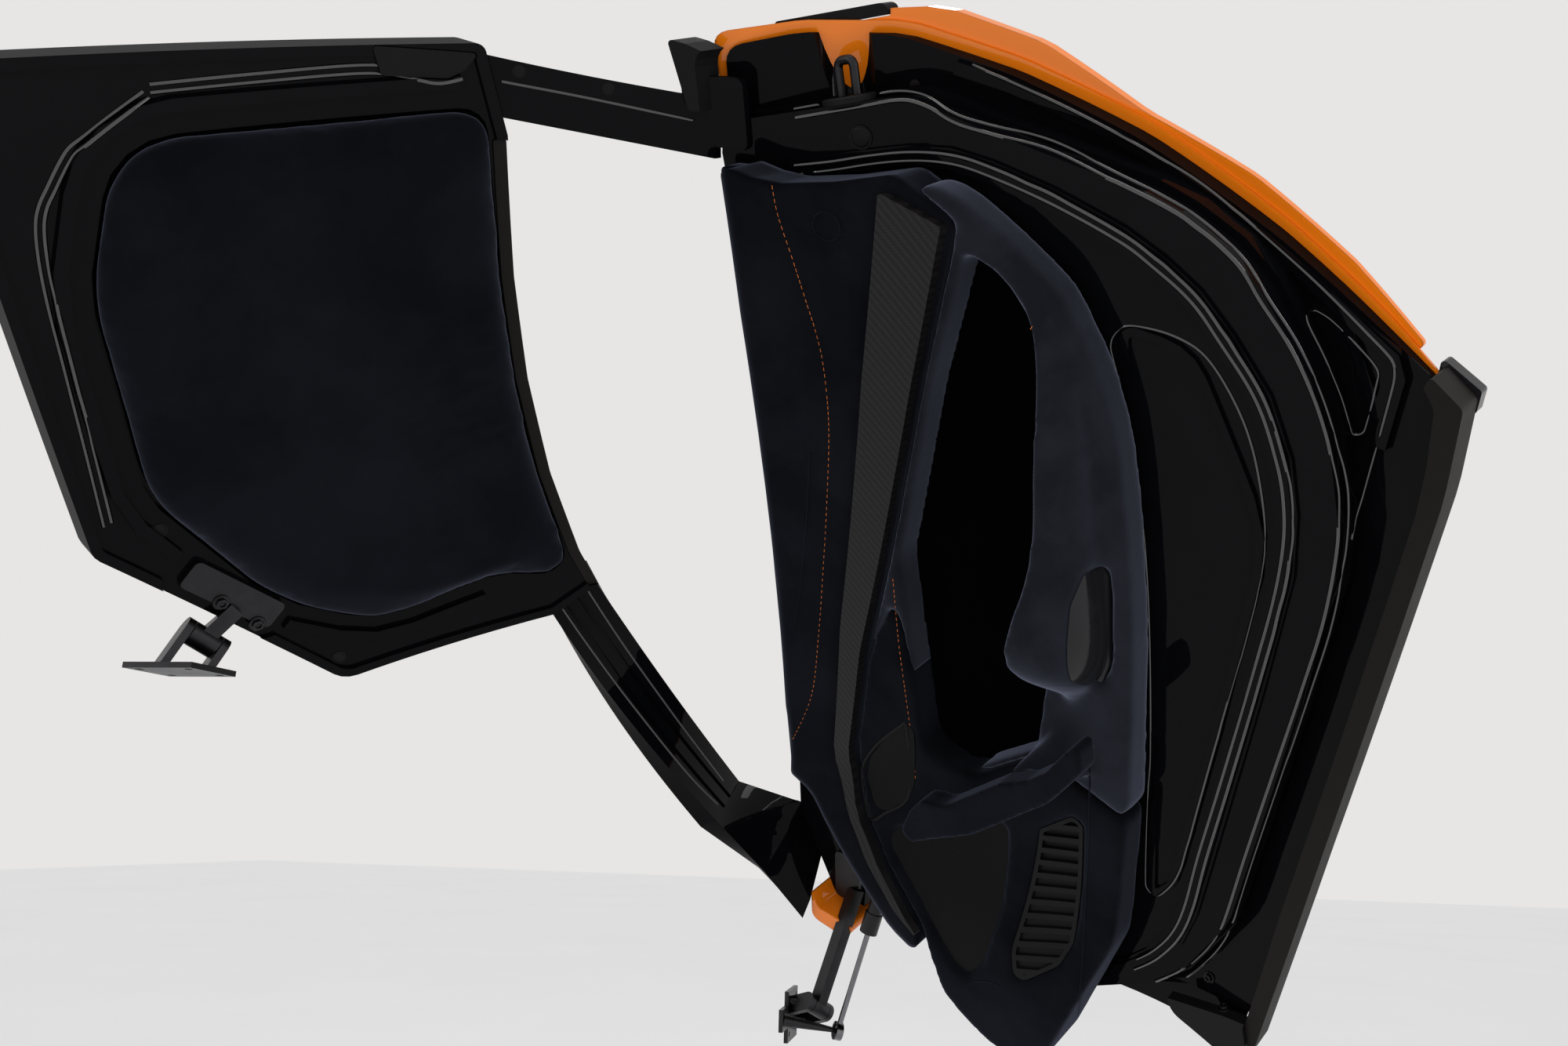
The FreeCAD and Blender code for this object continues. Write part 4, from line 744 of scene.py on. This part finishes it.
# A stitch's side view: how far along its length, and how far up in thread radii
THREAD_PROFILE = ((-0.5, -0.9), (-0.36, 0.1), (0.0, 0.55), (0.36, 0.1), (0.5, -0.9))

# A gap in a row of stitches is left open when it is longer than this many pitches
OPEN_GAP = 3


class DOOR_OT_finishes(bpy.types.Operator):
    """Make the materials and give every rigid CAD piece its finish"""
    bl_idname = "door.finishes"
    bl_label = "Finishes"

    def execute(self, context):
        make_materials()
        for part in frame["record"]["subparts"]:
            dress(frame["nodes"][part["node"]], NODE_MATERIALS[part["material_slot"]])
        dress(frame["nodes"]["sill_strip"], "Seal rubber")
        dress(frame["nodes"]["pillar_foot"], "Black lacquer")
        dress(frame["nodes"]["card_panel"], "Panel suede")
        self.mask_inside(frame["nodes"]["outer_skin"])
        return {"FINISHED"}

    def mask_inside(self, skin):
        """The skin's inboard side is given black lacquer along its low front end."""
        skin.data.materials.append(bpy.data.materials["Black lacquer"])
        for polygon in skin.data.polygons:
            inboard = (skin.matrix_world.to_3x3() @ polygon.normal).dot(OUTBOARD) < MASK_FACING
            if inboard and (skin.matrix_world @ polygon.center).z < MASK_TOP:
                polygon.material_index = 1


class DOOR_OT_headliner(bpy.types.Operator):
    """Pad the headliner and cover it in suede"""
    bl_idname = "door.headliner"
    bl_label = "Headliner"

    def execute(self, context):
        soft_piece("headliner", "headliner_pad", "Headliner suede", 0.004, 90, trim().headliner_cap, 3.0)
        return {"FINISHED"}


class DOOR_OT_card(bpy.types.Operator):
    """Round and cover the pieces of the door card"""
    bl_idname = "door.card"
    bl_label = "Door card"

    def execute(self, context):
        for node, material, voxel, rounds in (("card_body", "Lit armrest suede", trim().voxel, 60),
                                              ("card_front", "Suede", trim().voxel, 40),
                                              ("pull_handle", "Suede", 0.0025, 12),
                                              ("pocket_liner", "Flocked lining", 0.003, 2)):
            soft_piece(node, node + "_cover", material, voxel, rounds)
        return {"FINISHED"}


def card_surface():
    covers = [bpy.data.objects[name] for name in ("card_body_cover", "card_front_cover")]
    return tree_of(covers + [frame["nodes"]["card_panel"]])


class DOOR_OT_stitching(bpy.types.Operator):
    """Sew the orange single rows into the card"""
    bl_idname = "door.stitching"
    bl_label = "Stitching"

    def execute(self, context):
        surface = card_surface()
        thread = self.thread()
        for name, corners in (("main_stitch", MAIN_STITCH), ("front_stitch", FRONT_STITCH),
                              ("armrest_stitch", ARMREST_STITCH)):
            self.sew(name, thread, laid_on(surface, corners, trim().stitch_pitch))
        bpy.data.objects.remove(thread)
        return {"FINISHED"}

    def thread(self):
        """One stitch along X: a thin round thread whose ends dip into the cover."""
        length = trim().stitch_length
        radius = trim().stitch_radius
        deselect()
        bpy.ops.mesh.primitive_cylinder_add(vertices=6, radius=radius, depth=length,
                                            rotation=(0, math.pi / 2, 0))
        bpy.ops.object.transform_apply(location=False, rotation=True, scale=False)
        piece = bpy.context.active_object
        bpy.ops.object.mode_set(mode="EDIT")
        for share, _ in THREAD_PROFILE[1:-1]:
            bpy.ops.mesh.select_all(action="SELECT")
            bpy.ops.mesh.bisect(plane_co=(share * length, 0, 0), plane_no=(1, 0, 0))
        bpy.ops.mesh.select_mode(type="VERT")
        for share, lift in THREAD_PROFILE:
            bpy.ops.mesh.select_all(action="DESELECT")
            bpy.ops.object.mode_set(mode="OBJECT")
            for vertex in piece.data.vertices:
                vertex.select = abs(vertex.co.x - share * length) < 0.05 * length
            bpy.ops.object.mode_set(mode="EDIT")
            bpy.ops.transform.translate(value=(0, 0, lift * radius))
        bpy.ops.object.mode_set(mode="OBJECT")
        return piece

    def sew(self, name, thread, laid):
        """One row of copies of the stitch, each laid along the cover and up its normal."""
        stitches = []
        for (place, normal), after in zip(laid, laid[1:]):
            along = after[0] - place
            if along.length > OPEN_GAP * trim().stitch_pitch:
                continue
            stitch = bpy.data.objects.new(name, thread.data.copy())
            bpy.context.scene.collection.objects.link(stitch)
            stitch.data.transform(Matrix.Translation(place) @ basis(along, normal))
            stitches.append(stitch)
        deselect()
        for stitch in stitches:
            stitch.select_set(True)
        bpy.context.view_layer.objects.active = stitches[0]
        if len(stitches) > 1:
            bpy.ops.object.join()
        shade_smooth(stitches[0])
        finish_piece(stitches[0], "Thread")


class DOOR_OT_piping(bpy.types.Operator):
    """Lay the welts along the card's seams, and the beads along the pressing, roof frame and bars"""
    bl_idname = "door.piping"
    bl_label = "Seams and beads"

    def execute(self, context):
        card = card_surface()
        for name, line, pitch, radius in (("panel_seam", PANEL_SEAM, 0.006, 0.0010),
                                          ("armrest_seam", ARMREST_SEAM, 0.006, 0.0014),
                                          ("cap_seam", CAP_SEAM, 0.004, 0.0012)):
            self.welt(name, laid_on(card, line, pitch), radius, "Suede", "suede")
        rim = laid_on(card, TWEETER_RIM, 0.006)
        self.welt("tweeter_rim", rim, 0.0028, "Matte plastic", "satin_black", True)
        carriers = ("inner_pressing", "roof_frame", "rear_bar", "pillar_bar")
        pressing, roof, rear_bar, pillar_bar = [tree_of([frame["nodes"][name]]) for name in carriers]
        self.twin_beads("rib_bead", pressing, MAIN_RIB)
        self.twin_beads("flange_bead", pressing, FLANGE_RIB)
        self.bead("chevron_bead", pressing, CHEVRON_LINE, BEAD_PITCH, 0.0018)
        self.bead("teardrop_bead", pressing, TEARDROP_LINE, BEAD_PITCH, 0.0018, True)
        self.bead("triangle_bead", pressing, TRIANGLE_LINE, 0.008, 0.0016, True)
        self.twin_beads("roof_rear_bead", roof, ROOF_REAR_RIB)
        self.twin_beads("roof_side_bead", roof, ROOF_SIDE_RIB)
        self.bead("rear_bar_bead", rear_bar, REAR_BAR_LINE, BEAD_PITCH, 0.0016)
        for index, line in enumerate(PILLAR_LINES):
            self.bead("pillar_bead_%d" % index, pillar_bar, line, BEAD_PITCH, 0.0016)
        return {"FINISHED"}

    def bead(self, name, surface, line, pitch, radius, closed=False):
        self.welt(name, laid_on(surface, line, pitch), radius, "Polished bead", "black_lacquer", closed)

    def twin_beads(self, name, surface, line):
        for side, shift in (("inner", -TWIN_HALF), ("outer", TWIN_HALF)):
            self.bead("%s_%s" % (name, side), surface, beside(line, shift), BEAD_PITCH, TWIN_RADIUS)

    def welt(self, name, laid, radius, material, slot, closed=False):
        """A round cord sunk a little more than half, along places on a surface."""
        if len(laid) < 4:
            raise RuntimeError("no surface under " + name)
        deselect()
        bpy.ops.curve.primitive_nurbs_path_add()
        piece = bpy.context.active_object
        piece.name = name
        curve = piece.data
        curve.splines.clear()
        spline = curve.splines.new("NURBS")
        spline.points.add(len(laid) - 1)
        for point, (place, normal) in zip(spline.points, laid):
            point.co = tuple(place - normal * radius * CORD_SUNK) + (1.0,)
        spline.order_u = 3
        spline.use_endpoint_u = not closed
        spline.use_cyclic_u = closed
        curve.bevel_depth = radius
        curve.bevel_resolution = 3
        make_active(piece)
        bpy.ops.object.convert(target="MESH")
        piece = bpy.context.active_object
        piece.location = (0, 0, 0)
        shade_smooth(piece)
        finish_piece(piece, material)


class DOOR_OT_fasteners(bpy.types.Operator):
    """Fit the bolts, plugs and caps that show on the door"""
    bl_idname = "door.fasteners"
    bl_label = "Bolts, plugs and caps"

    def execute(self, context):
        carriers = ("rear_bar", "roof_frame", "inner_pressing", "upper_hinge_arm", "front_fin", "pillar_bar")
        frames = tree_of([frame["nodes"][name] for name in carriers])
        self.row("bar_plug", frames, BAR_PLUGS, self.plug, 0.006, "Matte plastic", "satin_black")
        self.row("arm_bolt", frames, ARM_BOLTS, self.bolt, 0.0085, "Dark steel", "dark_steel")
        self.row("roof_plug", frames, ROOF_PLUGS, self.plug, 0.008, "Matte plastic", "satin_black")
        self.fit("latch_plug", frames, LATCH_PLUG, self.plug(0.012), "Matte plastic", "satin_black")
        self.fit("latch_hole_plug", frames, LATCH_HOLE, self.plug(0.005), "Seal rubber", "seal_rubber")
        self.row("guide_bolt", frames, GUIDE_BOLTS, self.bolt, 0.007, "Dark steel", "dark_steel")
        self.fit("card_cap", card_surface(), CARD_CAP, self.cap(0.0155), "Suede", "suede")
        return {"FINISHED"}

    def row(self, name, surface, pixels, shape, radius, material, slot):
        for index, pixel in enumerate(pixels):
            self.fit("%s_%d" % (name, index), surface, pixel, shape(radius), material, slot)

    def turned(self, radius, height, steps, segments=40):
        """A disc whose outer face is inset and moved in steps of (inset, rise)."""
        deselect()
        bpy.ops.mesh.primitive_cylinder_add(vertices=segments, radius=radius, depth=height,
                                            location=(0, 0, height / 2))
        piece = bpy.context.active_object
        piece.data.transform(piece.matrix_world)
        piece.matrix_world = Matrix.Identity(4)
        mesh = piece.data
        for inset, rise in steps:
            bpy.ops.object.mode_set(mode="EDIT")
            bpy.ops.mesh.select_mode(type="FACE")
            bpy.ops.mesh.select_all(action="DESELECT")
            bpy.ops.object.mode_set(mode="OBJECT")
            top = max(mesh.polygons, key=lambda face: (round(face.normal.z, 2) == 1.0, len(face.vertices) > 4,
                                                       -face.area))
            top.select = True
            bpy.ops.object.mode_set(mode="EDIT")
            bpy.ops.mesh.inset(thickness=inset, depth=0.0)
            if rise:
                bpy.ops.transform.translate(value=(0, 0, rise))
            bpy.ops.object.mode_set(mode="OBJECT")
        edge = piece.modifiers.new("Edge", "BEVEL")
        edge.width = radius * 0.04
        edge.segments = 2
        edge.limit_method = "ANGLE"
        apply_modifiers(piece)
        shade_smooth(piece, 30)
        return piece

    def plug(self, radius):
        steps = [(radius * 0.18, -radius * 0.05), (radius * 0.12, radius * 0.10)]
        return self.turned(radius, radius * 0.16, steps)

    def cap(self, radius):
        steps = [(radius * 0.06, radius * 0.05), (radius * 0.10, -radius * 0.07)]
        return self.turned(radius, radius * 0.10, steps)

    def bolt(self, radius):
        """A flange, then a six-sided head with a round recess, made as one piece."""
        flange = self.turned(radius, radius * 0.22, [(radius * 0.06, radius * 0.04)])
        recess = [(radius * 0.26, 0.0), (radius * 0.02, -radius * 0.35)]
        head = self.turned(radius * 0.72, radius * 0.75, recess, 6)
        deselect()
        head.select_set(True)
        flange.select_set(True)
        bpy.context.view_layer.objects.active = flange
        bpy.ops.object.join()
        return flange

    def fit(self, name, surface, pixel, piece, material, slot):
        """Seat a fitting on the surface that shows at a pixel of the photograph."""
        found = seen_at(surface, pixel)
        if found is None:
            raise RuntimeError("no surface under " + name)
        place, normal = found
        side = Vector((0, 0, 1)) if abs(normal.z) < 0.9 else Vector((0, 1, 0))
        seat = Matrix.Translation(place - normal * FITTING_SUNK) @ basis(normal.cross(side), normal)
        piece.name = name
        piece.data.transform(seat)
        finish_piece(piece, material)


# Soft boxes and strips: place, width and height, and power in watts; all look at the middle of the door
LAMPS = (
    ("ceiling_softbox", (0.2, 0.8, 3.4), (1.6, 0.6), 14.0),
    ("window_softbox", (3.6, -0.4, 0.6), (0.3, 2.2), 12.0),
    ("front_softbox", (-2.8, -2.6, 1.4), (0.3, 1.8), 12.0),
    ("window_strip", (2.4, -1.5, 0.9), (0.12, 2.4), 6.0),
    ("ceiling_strip", (0.3, -1.6, 2.9), (2.6, 0.12), 6.0))
LAMP_TARGET = (0.1, -0.5, 0.45)

# The world's light on the door, and what the camera and mirrors see of it
WORLD_LIGHT = (0.97, 0.98, 1.0, 1.0)
WORLD_STRENGTH = 0.92
WORLD_SEEN = (0.80, 0.79, 0.78, 1.0)

# What the floor gives off towards the camera alone
FLOOR_GLOW = 0.04


class DOOR_OT_studio(bpy.types.Operator):
    """Set the pale floor, the soft lights and the photograph's camera"""
    bl_idname = "door.studio"
    bl_label = "Studio"

    def execute(self, context):
        self.floor()
        self.lights()
        self.world()
        self.camera()
        context.scene.view_settings.view_transform = "Standard"
        return {"FINISHED"}

    def floor(self):
        studio = bpy.context.scene.door_studio
        deselect()
        bpy.ops.mesh.primitive_plane_add(size=30.0, location=(0, 6.0, -studio.floor_drop))
        ground = bpy.context.active_object
        ground.name = "studio_floor"
        material = new_material("Studio floor")
        tree = material.node_tree
        cloud = noise(tree, object_coordinates(material), 0.8, 3.0)
        colour = tuple(studio.backdrop)
        tint = mix_colour(tree, cloud, rgba(colour), rgba(tuple(part * 0.94 for part in colour)))
        shader = shader_of(material)
        tree.links.new(tint, shader.inputs["Base Color"])
        tree.links.new(tint, shader.inputs["Emission Color"])
        rays = tree.nodes.new("ShaderNodeLightPath")
        glow = math_node(tree, "MULTIPLY", rays.outputs["Is Camera Ray"], FLOOR_GLOW)
        tree.links.new(glow, shader.inputs["Emission Strength"])
        shader.inputs["Roughness"].default_value = 0.75
        ground.data.materials.append(material)

    def lights(self):
        for name, place, size, power in LAMPS:
            light = bpy.data.lights.new(name, "AREA")
            light.shape = "RECTANGLE"
            light.size, light.size_y = size
            light.energy = power
            lamp = bpy.data.objects.new(name, light)
            bpy.context.scene.collection.objects.link(lamp)
            lamp.location = place
            aim = Vector(LAMP_TARGET) - Vector(place)
            lamp.rotation_euler = aim.to_track_quat("-Z", "Y").to_euler()

    def world(self):
        world = bpy.data.worlds.new("Studio")
        bpy.context.scene.world = world
        world.use_nodes = True
        tree = world.node_tree
        tree.nodes.clear()
        output = tree.nodes.new("ShaderNodeOutputWorld")
        light = tree.nodes.new("ShaderNodeBackground")
        seen = tree.nodes.new("ShaderNodeBackground")
        light.inputs["Color"].default_value = WORLD_LIGHT
        light.inputs["Strength"].default_value = WORLD_STRENGTH
        seen.inputs["Color"].default_value = WORLD_SEEN
        rays = tree.nodes.new("ShaderNodeLightPath")
        mixer = tree.nodes.new("ShaderNodeMixShader")
        shown = rays.outputs["Is Camera Ray"]
        for kind in ("Is Glossy Ray", "Is Transmission Ray"):
            shown = math_node(tree, "MAXIMUM", shown, rays.outputs[kind])
        tree.links.new(shown, mixer.inputs[0])
        tree.links.new(light.outputs[0], mixer.inputs[1])
        tree.links.new(seen.outputs[0], mixer.inputs[2])
        tree.links.new(mixer.outputs[0], output.inputs["Surface"])

    def camera(self):
        studio = bpy.context.scene.door_studio
        data = bpy.data.cameras.new("Camera")
        data.sensor_width = SENSOR_MM
        data.lens = studio.lens
        data.clip_end = 100.0
        camera = bpy.data.objects.new("Camera", data)
        bpy.context.scene.collection.objects.link(camera)
        camera.matrix_world = camera_matrix()
        bpy.context.scene.camera = camera


class DOOR_PT_panel(bpy.types.Panel):
    bl_label = "Door"
    bl_idname = "DOOR_PT_panel"
    bl_space_type = "VIEW_3D"
    bl_region_type = "UI"
    bl_category = "Door"

    def draw(self, context):
        layout = self.layout
        for group in (context.scene.door_finishes, context.scene.door_trim, context.scene.door_studio):
            for name in group.__annotations__:
                layout.prop(group, name)
        for operator in OPERATORS:
            layout.operator(operator.bl_idname)


OPERATORS = (DOOR_OT_studio, DOOR_OT_finishes, DOOR_OT_headliner, DOOR_OT_card, DOOR_OT_stitching,
             DOOR_OT_piping, DOOR_OT_fasteners)
GROUPS = (DoorFinishes, DoorTrim, DoorStudio)


def register():
    for item in GROUPS + OPERATORS + (DOOR_PT_panel,):
        bpy.utils.register_class(item)
    bpy.types.Scene.door_finishes = PointerProperty(type=DoorFinishes)
    bpy.types.Scene.door_trim = PointerProperty(type=DoorTrim)
    bpy.types.Scene.door_studio = PointerProperty(type=DoorStudio)


def unregister():
    del bpy.types.Scene.door_studio
    del bpy.types.Scene.door_trim
    del bpy.types.Scene.door_finishes
    for item in reversed(GROUPS + OPERATORS + (DOOR_PT_panel,)):
        bpy.utils.unregister_class(item)


def main():
    register()
    bpy.ops.door.studio()
    bpy.ops.door.finishes()
    bpy.ops.door.headliner()
    bpy.ops.door.card()
    bpy.ops.door.stitching()
    bpy.ops.door.piping()
    bpy.ops.door.fasteners()


if __name__ == "__main__":
    main()
